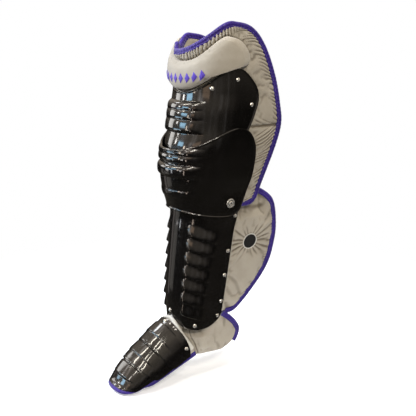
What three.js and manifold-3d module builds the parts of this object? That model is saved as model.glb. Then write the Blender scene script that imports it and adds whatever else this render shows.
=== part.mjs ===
// Lacrosse goalie leg pad for the left leg: padded panels with bound edges, riveted ribbed
// shells, a hinged knee shell and overlapping foot plates. Millimetres, +Z up, -Y the front
// of the leg, +X its outer side. The origin is the knee centre inside the hollow.

import * as THREE from "three";
import Module from "manifold-3d";

const wasm = await Module();
wasm.setup();

// Driving dimensions
const SEAT = 1.5; // air between a piece and the one it lies on
const SHELL = 2.6; // moulded plastic
const PLATE = 2.2;
const THIGH_PAD = 14;
const SHIN_PAD = 12;
const FLAP_PAD = 11;
const FOOT_PAD = 9;
const EDGE = 0.42; // share of the padding left where a panel is pinched into its binding
const ROLL = 16; // puff of the thigh roll
const TAPE = { width: 10.5, thick: 8, gap: 0.5 };
const SHIN_TUCK = 15.5; // how far the shin panel's top goes in behind the thigh panel
const FLAP_TUCK = 12.2; // how far a heel flap's front goes in behind the foot panel
const INNER_DROP = 22; // the inner thigh wing is lower than the outer one
const SEAM_Z = 104; // cross seam of the thigh wings
const PIVOT = { y: 6, z: -67, hole: 4.4, shank: 4, washer: 10, cap: 6.2 };
const RIVET = { radius: 4.8, height: 2.8 };

// Outer face of the padding at each height: front = distance ahead of the leg axis,
// half = half width, round = depth of the front curve, flare = outward bend of the sides
const LEG = [
  { z: -450, front: 96, half: 57, round: 54, flare: 0.0006 },
  { z: -366, front: 96.5, half: 58.5, round: 55, flare: 0.0008 },
  { z: -310, front: 98.5, half: 62.5, round: 59, flare: 0.0010 },
  { z: -217, front: 91, half: 70, round: 67, flare: 0.0012 },
  { z: -159, front: 84.5, half: 75.5, round: 73, flare: 0.0012 },
  { z: -129, front: 81.5, half: 78, round: 76, flare: 0.0010 },
  { z: -100, front: 78.5, half: 81.5, round: 79, flare: 0.0006 },
  { z: -82, front: 79.5, half: 83, round: 81, flare: 0.0005 },
  { z: -60, front: 85.5, half: 83.6, round: 84, flare: 0.0005 },
  { z: -45, front: 90, half: 84.6, round: 87, flare: 0.0006 },
  { z: -12, front: 93.5, half: 91.5, round: 92, flare: 0.0009 },
  { z: 26, front: 92.5, half: 95.5, round: 94, flare: 0.0012 },
  { z: 62, front: 88, half: 98.5, round: 94, flare: 0.0014 },
  { z: 99, front: 77, half: 100.5, round: 92, flare: 0.0014 },
  { z: 140, front: 70, half: 100, round: 88, flare: 0.0012 },
  { z: 181, front: 61.5, half: 98.5, round: 84, flare: 0.0010 },
  { z: 225, front: 57.5, half: 96, round: 80, flare: 0.0008 },
  { z: 340, front: 56, half: 90, round: 74, flare: 0.0004 },
];

// Foot: t runs from the ankle down to the toe on a line pitched from (y, z); its sections are
// arches of the given half width and height, squarer than an ellipse
const FOOT_LINE = { y: -72, z: -430, pitch: 21, square: 0.84 };
const FOOT = [
  { t: -20, half: 58, height: 87 },
  { t: 17, half: 56.5, height: 80 },
  { t: 60, half: 55, height: 69 },
  { t: 105, half: 53, height: 56 },
  { t: 140, half: 50, height: 44 },
  { t: 165, half: 46, height: 33 },
  { t: 190, half: 39, height: 20 },
];

// Side outlines, rear lower corner to rear upper corner; bottom and top are the heights on
// the front line, ease shapes how the edge climbs from the front to the side, and notch moves
// the low point of the top edge round to one side
const THIGH_PANEL = {
  bottom: -62, top: 262, easeBottom: 1, easeTop: 1.5, notch: -0.3,
  side: [[38, -71], [68, -72], [84, -56], [93, -14], [111, 44], [128, 104], [127, 145],
    [116, 211], [91, 276], [58, 311], [12, 320]],
};
const THIGH_ROLL = {
  bottom: 185, top: 247, easeBottom: 1.3, easeTop: 1.3,
  side: [[4, 235], [40, 237], [51, 250], [46, 270], [28, 289], [0, 299]],
};
const THIGH_SHELL = {
  bottom: 44, top: 181, easeBottom: 1, easeTop: 1.3,
  side: [[26, 66], [44, 96], [60, 126], [73, 164], [66, 196], [34, 228], [6, 229]],
};
const KNEE_SHELL = {
  bottom: -86, top: 57, easeBottom: 1, easeTop: 1.5,
  side: [[4, -98], [28, -91], [38, -75], [48, -50], [60, -5], [64.5, 34], [61, 70], [42, 97],
    [12, 104]],
};
const SHIN_SHELL = {
  bottom: -338, top: -66, easeBottom: 0.55, easeTop: 1,
  side: [[-66, -374], [-28, -369], [-2, -351], [5, -316], [14, -236], [23, -144], [31, -100],
    [29, -68], [20, -51], [4, -48]],
};
const SHIN_PANEL = {
  bottom: -347, top: -74, easeBottom: 0.55, easeTop: 1,
  side: [[-44, -350], [6, -337.5], [22, -340.5], [46, -333], [90, -284], [122, -232], [135, -176],
    [138, -124], [134, -92], [120, -69], [96, -55], [50, -52]],
  inner: [[-44, -350], [4, -338], [20, -316], [30, -236], [38, -176], [45, -130], [48, -92],
    [42, -66], [30, -56], [16, -54]],
};
const HEEL_FLAP = {
  front: [[-70, -438], [-84, -410], [-95, -368]],
  back: [[12, -444], [40, -429], [52, -404], [44, -386], [27, -367], [3, -347]],
};

// Raised bars across the front of the thigh and knee shells
const THIGH_BARS = [
  { z: 141, half: 20, rise: 5 },
  { z: 105, half: 15, rise: 6 },
];
const KNEE_BARS = [
  { z: 41, half: 16, rise: 2.8 },
  { z: 7, half: 14, rise: 5 },
  { z: -47, half: 13, rise: 1.6 },
];
// Bars down each side of the shin shell, parted by narrow grooves
const SHIN_BARS = { first: -114, pitch: 32.4, count: 7, rise: 3.6, slant: 0.14 };

const PLATES = [
  { name: "instep_plate", from: 6, to: 62, reach: 87, lift: 2.9, bowFrom: 0, bowTo: 20 },
  { name: "mid_plate", from: 51, to: 107, reach: 87, lift: 2.9, bowFrom: 20, bowTo: 30 },
  { name: "toe_plate", from: 96, to: 150, reach: 85, lift: 0.1, bowFrom: 30, bowTo: 37 },
];

// Rivets of one side, as side-view places
const THIGH_RIVETS = [[-32, 190], [17, 208], [53, 153]];
const SHIN_RIVETS = [[24, -100], [11, -185], [5, -245], [-1, -311], [-9, -347], [-67, -362]];
const SHIN_FRONT_RIVET = -332;
const FOOT_RIVET = { t: 15, angle: 76 };

const cloth = new THREE.MeshStandardMaterial({ color: 0xaaa295, roughness: 0.85 });
const tape = new THREE.MeshStandardMaterial({ color: 0x4a35a4, roughness: 0.7 });
const plastic = new THREE.MeshStandardMaterial({ color: 0x0b0b0d, roughness: 0.2 });
const nickel = new THREE.MeshStandardMaterial({ color: 0xb9bbc0, roughness: 0.3, metalness: 1 });

const RAD = Math.PI / 180;
const clamp = (x) => Math.min(1, Math.max(0, x));
const ease = (x) => clamp(x) ** 2 * (3 - 2 * clamp(x));
const mix = (a, b, t) => a + (b - a) * t;

// Value of a column at x, by a cubic through the rows that doesn't overshoot
function column(rows, key, x, by) {
  const last = rows.length - 1;
  const i = Math.min(last - 1, Math.max(0, rows.findIndex((r) => r[by] > x) - 1 + (x >= rows[last][by] ? last + 1 : 0)));
  const step = (k) => (rows[k + 1][key] - rows[k][key]) / (rows[k + 1][by] - rows[k][by]);
  const slope = (k) => {
    if (k === 0 || k === last) return 0;
    const a = step(k - 1);
    const b = step(k);
    return a * b <= 0 ? 0 : (2 * a * b) / (a + b);
  };
  const h = rows[i + 1][by] - rows[i][by];
  const t = clamp((x - rows[i][by]) / h);
  const a = rows[i][key];
  const b = rows[i + 1][key];
  return (1 + 2 * t) * (1 - t) ** 2 * a + t * (1 - t) ** 2 * h * slope(i)
    + t * t * (3 - 2 * t) * b + t * t * (t - 1) * h * slope(i + 1);
}

function section(z) {
  const s = {};
  for (const key of ["front", "half", "round", "flare"]) s[key] = column(LEG, key, z, "z");
  s.mid = s.round - s.front; // y where the front curve meets the side
  const k = ((s.half - s.round) / (s.half + s.round)) ** 2;
  s.arc = (Math.PI / 4) * (s.half + s.round) * (1 + (3 * k) / (10 + Math.sqrt(4 - 3 * k)));
  return s;
}

// Girth g is measured round the padding from the front line, + on the outer side
function legPoint(g, z, d) {
  const s = section(z);
  const side = g < 0 ? -1 : 1;
  const run = Math.abs(g) - s.arc;
  if (run > 0) {
    const lean = Math.atan(s.flare * run);
    const x = s.half + (s.flare * run * run) / 2 + d * Math.cos(lean);
    return new THREE.Vector3(side * x, s.mid + run - d * Math.sin(lean), z);
  }
  const angle = (Math.abs(g) / s.arc) * 90 * RAD;
  const n = new THREE.Vector2(Math.sin(angle) / s.half, -Math.cos(angle) / s.round).normalize();
  return new THREE.Vector3(side * (s.half * Math.sin(angle) + n.x * d),
    s.mid - s.round * Math.cos(angle) + n.y * d, z);
}

function girthOf(y, z) {
  const s = section(z);
  if (y >= s.mid) return s.arc + y - s.mid;
  return (s.arc * Math.acos(clamp((s.mid - y) / s.round))) / (90 * RAD);
}

const angleOf = (g, z) => (Math.abs(g) / section(z).arc) * 90;

function footPoint(angle, t, d) {
  const half = column(FOOT, "half", t, "t");
  const height = column(FOOT, "height", t, "t");
  const a = angle * RAD;
  const n = new THREE.Vector2(Math.sin(a) / half, Math.cos(a) / height).normalize();
  const up = height * Math.max(0, Math.cos(a)) ** FOOT_LINE.square + n.y * d;
  const x = half * Math.sign(a) * Math.abs(Math.sin(a)) ** FOOT_LINE.square + n.x * d;
  const c = Math.cos(FOOT_LINE.pitch * RAD);
  const s = Math.sin(FOOT_LINE.pitch * RAD);
  return new THREE.Vector3(x, FOOT_LINE.y - t * c - up * s, FOOT_LINE.z - t * s + up * c);
}

const spline = (rows) => new THREE.SplineCurve(rows.map((p) => new THREE.Vector2(p[0], p[1])));

// Place (girth, height) on a panel that fans from the front line to its side outlines
function fan(shape) {
  const outer = spline(shape.side);
  const inner = spline(shape.inner ?? shape.side);
  return (u, v) => {
    const s = Math.abs(u);
    const low = (shape.notch ?? 0) * ease((v - 0.75) / 0.25);
    const p = (u < 0 ? inner : outer).getPointAt(clamp(v));
    const edge = (u < low ? inner : outer).getPointAt(clamp(v));
    const drop = u < low && shape.drop ? shape.drop * ease((edge.y - 150) / 170) : 0;
    const centre = mix(shape.bottom, shape.top, v);
    const away = Math.abs(u - low) / (u < low ? 1 + low : 1 - low);
    const climb = ease(away ** mix(shape.easeBottom, shape.easeTop, v));
    return { g: Math.sign(u) * girthOf(p.x, p.y) * s, z: mix(centre, edge.y - drop, climb), s };
  };
}

// Closed wall from an outer and an inner face over one grid
function wall(nu, nv, at) {
  const points = [];
  const tris = [];
  for (const face of [1, 0]) {
    for (let j = 0; j <= nv; j++) {
      for (let i = 0; i <= nu; i++) points.push(at(i / nu, j / nv, face));
    }
  }
  const size = (nu + 1) * (nv + 1);
  const id = (i, j, face) => (face ? 0 : size) + j * (nu + 1) + i;
  const quad = (a, b, c, d) => tris.push(a, b, c, a, c, d);
  for (let j = 0; j < nv; j++) {
    for (let i = 0; i < nu; i++) {
      quad(id(i, j, 1), id(i + 1, j, 1), id(i + 1, j + 1, 1), id(i, j + 1, 1));
      quad(id(i, j, 0), id(i, j + 1, 0), id(i + 1, j + 1, 0), id(i + 1, j, 0));
    }
  }
  for (let i = 0; i < nu; i++) {
    quad(id(i, 0, 0), id(i + 1, 0, 0), id(i + 1, 0, 1), id(i, 0, 1));
    quad(id(i, nv, 1), id(i + 1, nv, 1), id(i + 1, nv, 0), id(i, nv, 0));
  }
  for (let j = 0; j < nv; j++) {
    quad(id(0, j, 1), id(0, j + 1, 1), id(0, j + 1, 0), id(0, j, 0));
    quad(id(nu, j, 0), id(nu, j + 1, 0), id(nu, j + 1, 1), id(nu, j, 1));
  }
  return solid(points, tris);
}

function solid(points, tris) {
  const geometry = new THREE.BufferGeometry();
  geometry.setAttribute("position",
    new THREE.Float32BufferAttribute(points.flatMap((p) => [p.x, p.y, p.z]), 3));
  geometry.setIndex(tris);
  geometry.computeVertexNormals();
  return geometry;
}

// Tape folded over an edge: path points, each with the way across the padding
function binding(edge, closed, turn = 1) {
  const sides = 6;
  const points = [];
  const tris = [];
  const n = edge.length;
  edge.forEach(({ at, across, spare }, i) => {
    const before = edge[closed ? (i + n - 1) % n : Math.max(0, i - 1)].at;
    const after = edge[closed ? (i + 1) % n : Math.min(n - 1, i + 1)].at;
    const along = after.clone().sub(before).normalize();
    const out = along.clone().cross(across).multiplyScalar(turn).normalize();
    const up = along.clone().cross(out);
    const bend = at.clone().sub(before).angleTo(after.clone().sub(at)) || 0;
    const mitre = at === before || at === after ? 1 : 1 / Math.cos(bend / 2);
    const centre = at.clone().addScaledVector(out, mitre * (TAPE.gap + spare + TAPE.width / 2));
    for (let k = 0; k < sides; k++) {
      const a = ((k + 0.5) / sides) * 2 * Math.PI;
      const reach = mitre * (TAPE.width / 2) * (Math.cos(a) / Math.cos(Math.PI / sides));
      points.push(centre.clone().addScaledVector(out, reach)
        .addScaledVector(up, (TAPE.thick / 2) * Math.sin(a)));
    }
  });
  const runs = closed ? n : n - 1;
  for (let i = 0; i < runs; i++) {
    const j = (i + 1) % n;
    for (let k = 0; k < sides; k++) {
      const m = (k + 1) % sides;
      tris.push(i * sides + k, i * sides + m, j * sides + m);
      tris.push(i * sides + k, j * sides + m, j * sides + k);
    }
  }
  if (!closed) {
    for (let k = 1; k < sides - 1; k++) {
      tris.push(0, k + 1, k);
      tris.push((n - 1) * sides, (n - 1) * sides + k, (n - 1) * sides + k + 1);
    }
  }
  return solid(points, tris);
}

// Edge samples of a sheet: the middle of the padding, and the way from its inner to outer face
const edgeOf = (sheet, places) => places.map(([u, v, spare = 0]) => ({
  at: sheet(u, v), across: sheet(u, v, 1).sub(sheet(u, v, 0)).normalize(), spare }));

function weld(geometry) {
  const position = geometry.attributes.position;
  const seen = new Map();
  const verts = [];
  const tris = [];
  const index = geometry.index ? geometry.index.array : [...Array(position.count).keys()];
  for (const i of index) {
    const p = [position.getX(i), position.getY(i), position.getZ(i)];
    const key = p.map((c) => Math.round(c * 1e4)).join();
    if (!seen.has(key)) {
      seen.set(key, verts.length / 3);
      verts.push(...p);
    }
    tris.push(seen.get(key));
  }
  const clean = [];
  for (let i = 0; i < tris.length; i += 3) {
    const [a, b, c] = tris.slice(i, i + 3);
    if (a !== b && b !== c && a !== c) clean.push(a, b, c);
  }
  return new wasm.Manifold(new wasm.Mesh({
    numProp: 3, vertProperties: new Float32Array(verts), triVerts: new Uint32Array(clean) }));
}

function fromManifold(body) {
  const mesh = body.getMesh();
  const geometry = new THREE.BufferGeometry();
  geometry.setAttribute("position", new THREE.BufferAttribute(new Float32Array(mesh.vertProperties), 3));
  geometry.setIndex(new THREE.BufferAttribute(new Uint32Array(mesh.triVerts), 1));
  geometry.computeVertexNormals();
  return geometry;
}

// Bore both pivot holes through a shell along X
function bored(geometry) {
  const pin = new THREE.CylinderGeometry(PIVOT.hole, PIVOT.hole, 300, 10);
  pin.rotateZ(90 * RAD);
  pin.translate(0, PIVOT.y, PIVOT.z);
  return fromManifold(weld(geometry).subtract(weld(pin)));
}

const pad = new THREE.Group();
pad.name = "lacrosse_goalie_leg_pad";
function add(name, geometry, material) {
  const mesh = new THREE.Mesh(geometry, material);
  mesh.name = name;
  pad.add(mesh);
}

// Share of the full padding at a place, pinched towards the edges of the panel
const puff = (inU, inV) => mix(EDGE, 1, Math.sqrt(ease(Math.min(inU, inV))));
const pinchV = (v, share) => Math.min(v, 1 - v) / share;

// Thigh panel with gathered wings
const thighPlace = fan({ ...THIGH_PANEL, drop: INNER_DROP });
const THIGH_GRID = { around: 20, up: 20 };
function thighSheet(u, v, face) {
  const { g, z, s } = thighPlace(u, v);
  const full = puff((1 - s) / 0.14, pinchV(v, 0.07));
  const wing = ease((s - 0.8) / 0.12) * (1 - ease((s - 0.97) / 0.03));
  const top = ease((v - 0.93) / 0.05) * (1 - ease((v - 0.985) / 0.015));
  const gather = wing * Math.cos(Math.PI * v * THIGH_GRID.up)
    + top * Math.cos(0.5 * Math.PI * u * THIGH_GRID.around);
  const seam = ease((s - 0.6) / 0.1) * Math.exp(-(((z - SEAM_Z) / 9) ** 2));
  const half = THIGH_PAD / 2;
  const out = face ? half * full + 1.3 * gather - 2.6 * seam : -half * full;
  return legPoint(g, z, (face === undefined ? 0 : out) - half);
}
add("thigh_panel", wall(THIGH_GRID.around, THIGH_GRID.up,
  (i, j, face) => thighSheet(2 * i - 1, j, face)), cloth);

const loop = [];
for (let k = 0; k < THIGH_GRID.up; k++) loop.push([1, k / THIGH_GRID.up]);
for (let k = 0; k < THIGH_GRID.around; k++) loop.push([1 - (2 * k) / THIGH_GRID.around, 1]);
for (let k = 0; k < THIGH_GRID.up; k++) loop.push([-1, 1 - k / THIGH_GRID.up]);
for (let k = 0; k < THIGH_GRID.around; k++) loop.push([(2 * k) / THIGH_GRID.around - 1, 0]);
add("thigh_binding", binding(edgeOf(thighSheet, loop), true), tape);

// Puffed roll across the top of the thigh
const rollPlace = fan(THIGH_ROLL);
add("thigh_roll", wall(16, 6, (i, j, face) => {
  const { g, z, s } = rollPlace(2 * i - 1, j);
  const round = Math.sqrt(clamp(4 * j * (1 - j))) * Math.sqrt(clamp((1 - s) / 0.16));
  return legPoint(g, z, SEAT + (face ? mix(2.4, ROLL, round) : 0));
}), cloth);

// Height of the raised bars at a place; they fade out towards the sides
function bars(rows, z, angle, from, to) {
  const fade = 1 - ease((angle - from) / (to - from));
  return rows.reduce((sum, b) => sum + b.rise * fade * (1 - ease((Math.abs(z - b.z) - b.half + 5) / 7)), 0);
}

const thighShellPlace = fan(THIGH_SHELL);
add("thigh_shell", wall(16, 14, (i, j, face) => {
  const { g, z } = thighShellPlace(2 * i - 1, j);
  const rise = bars(THIGH_BARS, z, angleOf(g, z), 26, 44);
  return legPoint(g, z, SEAT + rise + (face ? SHELL : 0));
}), plastic);

// The knee shell stands off the shin shell and stands further off in front, where its rim swings
const kneePlace = fan(KNEE_SHELL);
const kneeStand = (angle) => SEAT + SHELL + 2 + 3.4 * (1 - ease((angle - 35) / 45));
add("knee_shell", bored(wall(16, 14, (i, j, face) => {
  const { g, z } = kneePlace(2 * i - 1, j);
  const angle = angleOf(g, z);
  const rise = bars(KNEE_BARS, z, angle, 30, 62);
  return legPoint(g, z, kneeStand(angle) + rise + (face ? SHELL : 0));
})), plastic);

const shinShellPlace = fan(SHIN_SHELL);
function shinBars(g, z) {
  const along = (SHIN_BARS.first - (z + SHIN_BARS.slant * Math.abs(g))) / SHIN_BARS.pitch;
  if (along < 0 || along > SHIN_BARS.count) return 0;
  const angle = angleOf(g, z);
  const band = ease((angle - 24) / 12) * (1 - ease((angle - 74) / 16));
  return SHIN_BARS.rise * band * ease((0.5 - Math.abs((along % 1) - 0.5)) / 0.24);
}
add("shin_shell", bored(wall(14, 25, (i, j, face) => {
  const { g, z } = shinShellPlace(2 * i - 1, j);
  return legPoint(g, z, SEAT + shinBars(g, z) + (face ? SHELL : 0));
})), plastic);

// Shin panel with a wide outer and a narrow inner calf wing; its top goes in behind the thigh
const shinPlace = fan(SHIN_PANEL);
const SHIN_GRID = { around: 16, up: 18 };
function shinSheet(u, v, face) {
  const { g, z, s } = shinPlace(u, v);
  const full = puff((1 - s) / 0.14, pinchV(v, 0.07));
  const wing = u > 0 ? ease((s - 0.68) / 0.2) * (1 - ease((s - 0.97) / 0.03)) : 0;
  const half = SHIN_PAD / 2;
  const out = face ? half * full + 1.2 * wing * Math.cos(Math.PI * v * SHIN_GRID.up) : -half * full;
  const tuck = SHIN_TUCK * ease((z + 114) / 26) * (1 - ease((legPoint(g, z, 0).y - 104) / 26));
  return legPoint(g, z, (face === undefined ? 0 : out) - half - tuck);
}
add("shin_panel", wall(SHIN_GRID.around, SHIN_GRID.up,
  (i, j, face) => shinSheet(2 * i - 1, j, face)), cloth);
for (const [name, side, first] of [["calf_binding_outer", 1, 3], ["calf_binding_inner", -1, 4]]) {
  const run = [];
  for (let k = first; k < SHIN_GRID.up; k++) run.push([side, k / SHIN_GRID.up]);
  add(name, binding(edgeOf(shinSheet, run), false, side), tape);
}

// Heel flaps meet the shin panel's lower corners
const flapFront = spline(HEEL_FLAP.front);
const flapBack = spline(HEEL_FLAP.back);
const FLAP_GRID = { around: 6, up: 8 };
function flapSheet(u, v, face, side) {
  const f = flapFront.getPointAt(clamp(v));
  const b = flapBack.getPointAt(clamp(v));
  const z = mix(f.y, b.y, u);
  const g = mix(girthOf(f.x, f.y), girthOf(b.x, b.y), u);
  const full = puff(Math.min(0.42 + u / 0.3, (1 - u) / 0.2), pinchV(v, 0.16) + 0.2);
  const half = FLAP_PAD / 2;
  const front = 1 - ease((legPoint(g, z, 0).y + 60) / 40);
  const tuck = FLAP_TUCK * front * ease((z + 396) / 20);
  const out = face === undefined ? 0 : (face ? 1 : -1) * half * full;
  return legPoint(side * g, z, out - half - tuck);
}
for (const [name, side] of [["outer", 1], ["inner", -1]]) {
  add(`heel_flap_${name}`, wall(FLAP_GRID.around, FLAP_GRID.up, (i, j, face) =>
    flapSheet(side > 0 ? i : 1 - i, j, face, side)), cloth);
  const run = [];
  for (let k = 2; k <= FLAP_GRID.up; k++) run.push([1, k / FLAP_GRID.up]);
  const sheet = (u, v, face) => flapSheet(u, v, face, side);
  add(`heel_binding_${name}`, binding(edgeOf(sheet, run), false, side), tape);
}

// Foot panel, its binding and the overlapping plates; their lower edges bow towards the toe
const bow = (angle, by) => by * Math.sqrt(clamp(1 - (angle / 90) ** 2));
const FOOT_RUN = { from: -3, to: 150, bow: 38, clear: 8 };
const FOOT_GRID = { around: 10, along: 10 };
function footSheet(u, v, face) {
  const from = FOOT_RUN.from + FOOT_RUN.clear * Math.abs(Math.sin(180 * RAD * u));
  const t = mix(from, FOOT_RUN.to + bow(90 * u, FOOT_RUN.bow), v);
  const thick = Math.min(FOOT_PAD, 0.5 * column(FOOT, "height", t, "t"));
  const out = face === undefined ? -thick / 2 : face ? 0 : -thick;
  return footPoint((90 - 10 * ease((v - 0.8) / 0.2)) * u, t, out);
}
// the toe is at v = 1, so the grid runs from toe to ankle to keep the faces outward
add("foot_panel", wall(FOOT_GRID.around, FOOT_GRID.along,
  (i, j, face) => footSheet(2 * i - 1, 1 - j, face)), cloth);
const sole = [];
for (let k = 0; k < FOOT_GRID.along; k++) sole.push([-1, k / FOOT_GRID.along]);
sole.push([-1, 1, 1]);
for (let k = 1; k < FOOT_GRID.around; k++) sole.push([(2 * k) / FOOT_GRID.around - 1, 1]);
sole.push([1, 1, 1]);
for (let k = FOOT_GRID.along - 1; k >= 0; k--) sole.push([1, k / FOOT_GRID.along]);
add("foot_binding", binding(edgeOf(footSheet, sole), false), tape);

for (const plate of PLATES) {
  add(plate.name, wall(10, 5, (i, j, face) => {
    const v = 1 - j;
    const angle = plate.reach * (2 * i - 1);
    const t = mix(plate.from + bow(angle, plate.bowFrom), plate.to + bow(angle, plate.bowTo), v);
    const lift = plate.lift * ease(v / 0.8) + 1.2 * Math.exp(-(((v - 0.55) / 0.2) ** 2));
    return footPoint(angle, t, SEAT + lift + (face ? PLATE : 0));
  }), plastic);
}

// Rivets: domed heads set on the shells, square to the surface
function dome(radius, height) {
  const rows = [[0, 0], [1, 0], [1, 0.3], [0.72, 0.82], [0, 1]];
  return new THREE.LatheGeometry(rows.map((r) => new THREE.Vector2(r[0] * radius, r[1] * height)), 6);
}
function rivet(name, surface, g, z, lift) {
  const e = 2;
  const du = surface(g + e, z).sub(surface(g - e, z));
  const dv = surface(g, z + e).sub(surface(g, z - e));
  const out = du.cross(dv).normalize();
  const at = surface(g, z).addScaledVector(out, lift);
  const geometry = dome(RIVET.radius, RIVET.height);
  geometry.applyQuaternion(new THREE.Quaternion().setFromUnitVectors(new THREE.Vector3(0, 1, 0), out));
  geometry.translate(at.x, at.y, at.z);
  add(name, geometry, nickel);
}
const onShell = (g, z) => legPoint(g, z, SEAT + SHELL);
const onPlate = (angle, down) => footPoint(angle, -down, SEAT + PLATE);
for (const [name, side] of [["outer", 1], ["inner", -1]]) {
  THIGH_RIVETS.forEach(([y, z], i) =>
    rivet(`thigh_rivet_${name}_${i + 1}`, onShell, side * girthOf(y, z), z, 0.2));
  SHIN_RIVETS.forEach(([y, z], i) =>
    rivet(`shin_rivet_${name}_${i + 1}`, onShell, side * girthOf(y, z), z, 0.5));
  rivet(`foot_rivet_${name}`, onPlate, side * FOOT_RIVET.angle, -FOOT_RIVET.t, 0.9);
}
rivet("shin_rivet_front", onShell, 0, SHIN_FRONT_RIVET, 0.5);
rivet("foot_rivet_front", onPlate, 0, -FOOT_RIVET.t, 0.9);

// Pivot rivets: shank through knee and shin shells, washer and cap outside
const pivotSeat = legPoint(girthOf(PIVOT.y, PIVOT.z), PIVOT.z, 0).x;
const pivotFace = pivotSeat + kneeStand(90) + SHELL + 0.5;
for (const [name, side] of [["outer", 1], ["inner", -1]]) {
  const rows = [[0, pivotSeat + 0.9], [PIVOT.shank, pivotSeat + 0.9], [PIVOT.shank, pivotFace],
    [PIVOT.washer, pivotFace], [PIVOT.washer, pivotFace + 1.2], [PIVOT.cap, pivotFace + 1.6],
    [PIVOT.cap * 0.7, pivotFace + 4], [0, pivotFace + 4.8]];
  const geometry = new THREE.LatheGeometry(rows.map((r) => new THREE.Vector2(r[0], r[1])), 10);
  geometry.rotateZ(-side * 90 * RAD);
  geometry.translate(0, PIVOT.y, PIVOT.z);
  add(`pivot_rivet_${name}`, geometry, nickel);
}

export default pad;
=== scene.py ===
"""Looks of a lacrosse goalie leg pad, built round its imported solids: gathered cloth panels with
taped edges, ribbed gloss shells, foot plates and rivets."""

import math

import bpy
import numpy as np
from mathutils import Matrix, Vector


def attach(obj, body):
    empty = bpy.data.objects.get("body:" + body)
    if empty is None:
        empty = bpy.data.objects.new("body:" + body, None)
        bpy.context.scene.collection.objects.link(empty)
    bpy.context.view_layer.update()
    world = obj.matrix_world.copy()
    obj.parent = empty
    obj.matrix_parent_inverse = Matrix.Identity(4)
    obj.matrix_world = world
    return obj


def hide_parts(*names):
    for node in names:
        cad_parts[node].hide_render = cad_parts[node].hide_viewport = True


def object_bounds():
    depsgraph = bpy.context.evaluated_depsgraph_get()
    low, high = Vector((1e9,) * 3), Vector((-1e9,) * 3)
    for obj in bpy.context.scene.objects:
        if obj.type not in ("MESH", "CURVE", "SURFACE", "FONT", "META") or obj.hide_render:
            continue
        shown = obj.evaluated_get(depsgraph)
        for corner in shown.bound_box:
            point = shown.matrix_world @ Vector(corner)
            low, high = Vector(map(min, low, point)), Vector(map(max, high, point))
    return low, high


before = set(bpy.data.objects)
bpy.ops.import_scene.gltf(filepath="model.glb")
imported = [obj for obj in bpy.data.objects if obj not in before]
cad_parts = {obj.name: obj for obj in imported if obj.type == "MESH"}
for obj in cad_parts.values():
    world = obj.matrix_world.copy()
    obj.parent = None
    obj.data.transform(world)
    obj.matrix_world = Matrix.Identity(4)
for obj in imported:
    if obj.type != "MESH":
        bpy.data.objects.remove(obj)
cad_low, cad_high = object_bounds()

# Sizes in millimetres, as in the solids
SEAT = 1.5
SHELL = 2.6
PLATE = 2.2
THIGH_PAD = 14
SHIN_PAD = 12
FLAP_PAD = 11
FOOT_PAD = 9
EDGE = 0.42
PINCH = {"side": 0.14, "end": 0.07}
ROLL = 16
SHIN_TUCK = 15.5
FLAP_TUCK = 12.2
FLAP_LAP = 3
INNER_DROP = 22
SEAM_Z = 104
PIVOT = {"y": 6, "z": -67, "washer": 10.8, "gap": 0.4}

# Outer face of the padding: height, front, half width, depth of the front curve, flare
LEG_Z, LEG_FRONT, LEG_HALF, LEG_ROUND, LEG_FLARE = np.array([
    (-450, 96, 57, 54, 0.0006),
    (-366, 96.5, 58.5, 55, 0.0008),
    (-310, 98.5, 62.5, 59, 0.0010),
    (-217, 91, 70, 67, 0.0012),
    (-159, 84.5, 75.5, 73, 0.0012),
    (-129, 81.5, 78, 76, 0.0010),
    (-100, 78.5, 81.5, 79, 0.0006),
    (-82, 79.5, 83, 81, 0.0005),
    (-60, 85.5, 83.6, 84, 0.0005),
    (-45, 90, 84.6, 87, 0.0006),
    (-12, 93.5, 91.5, 92, 0.0009),
    (26, 92.5, 95.5, 94, 0.0012),
    (62, 88, 98.5, 94, 0.0014),
    (99, 77, 100.5, 92, 0.0014),
    (140, 70, 100, 88, 0.0012),
    (181, 61.5, 98.5, 84, 0.0010),
    (225, 57.5, 96, 80, 0.0008),
    (340, 56, 90, 74, 0.0004),
], float).T

# Foot arches: distance down the foot line, half width, height
FOOT_T, FOOT_HALF, FOOT_HEIGHT = np.array([
    (-20, 58, 87),
    (17, 56.5, 80),
    (60, 55, 69),
    (105, 53, 56),
    (140, 50, 44),
    (165, 46, 33),
    (190, 39, 20),
], float).T
FOOT_LINE = {"y": -72, "z": -430, "pitch": 21, "square": 0.84}
FOOT_RUN = {"from": -3, "to": 150, "bow": 38, "clear": 8}

# Side outlines from the rear lower to the rear upper corner, with the heights on the front line
THIGH_PANEL = {
    "front": (-62, 262), "ease": (1, 1.5), "drop": INNER_DROP, "notch": -0.3,
    "side": [(38, -71), (68, -72), (84, -56), (93, -14), (111, 44), (128, 104), (127, 145),
             (116, 211), (91, 276), (58, 311), (12, 320)],
}
THIGH_ROLL = {
    "front": (185, 247), "ease": (1.3, 1.3),
    "side": [(4, 235), (40, 237), (51, 250), (46, 270), (28, 289), (0, 299)],
}
THIGH_SHELL = {
    "front": (44, 181), "ease": (1, 1.3),
    "side": [(26, 66), (44, 96), (60, 126), (73, 164), (66, 196), (34, 228), (6, 229)],
}
KNEE_SHELL = {
    "front": (-86, 57), "ease": (1, 1.5),
    "side": [(4, -98), (28, -91), (38, -75), (48, -50), (60, -5), (64.5, 34), (61, 70),
             (42, 97), (12, 104)],
}
SHIN_SHELL = {
    "front": (-338, -66), "ease": (0.55, 1),
    "side": [(-66, -374), (-28, -369), (-2, -351), (5, -316), (14, -236), (23, -144),
             (31, -100), (29, -68), (20, -51), (4, -48)],
}
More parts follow.
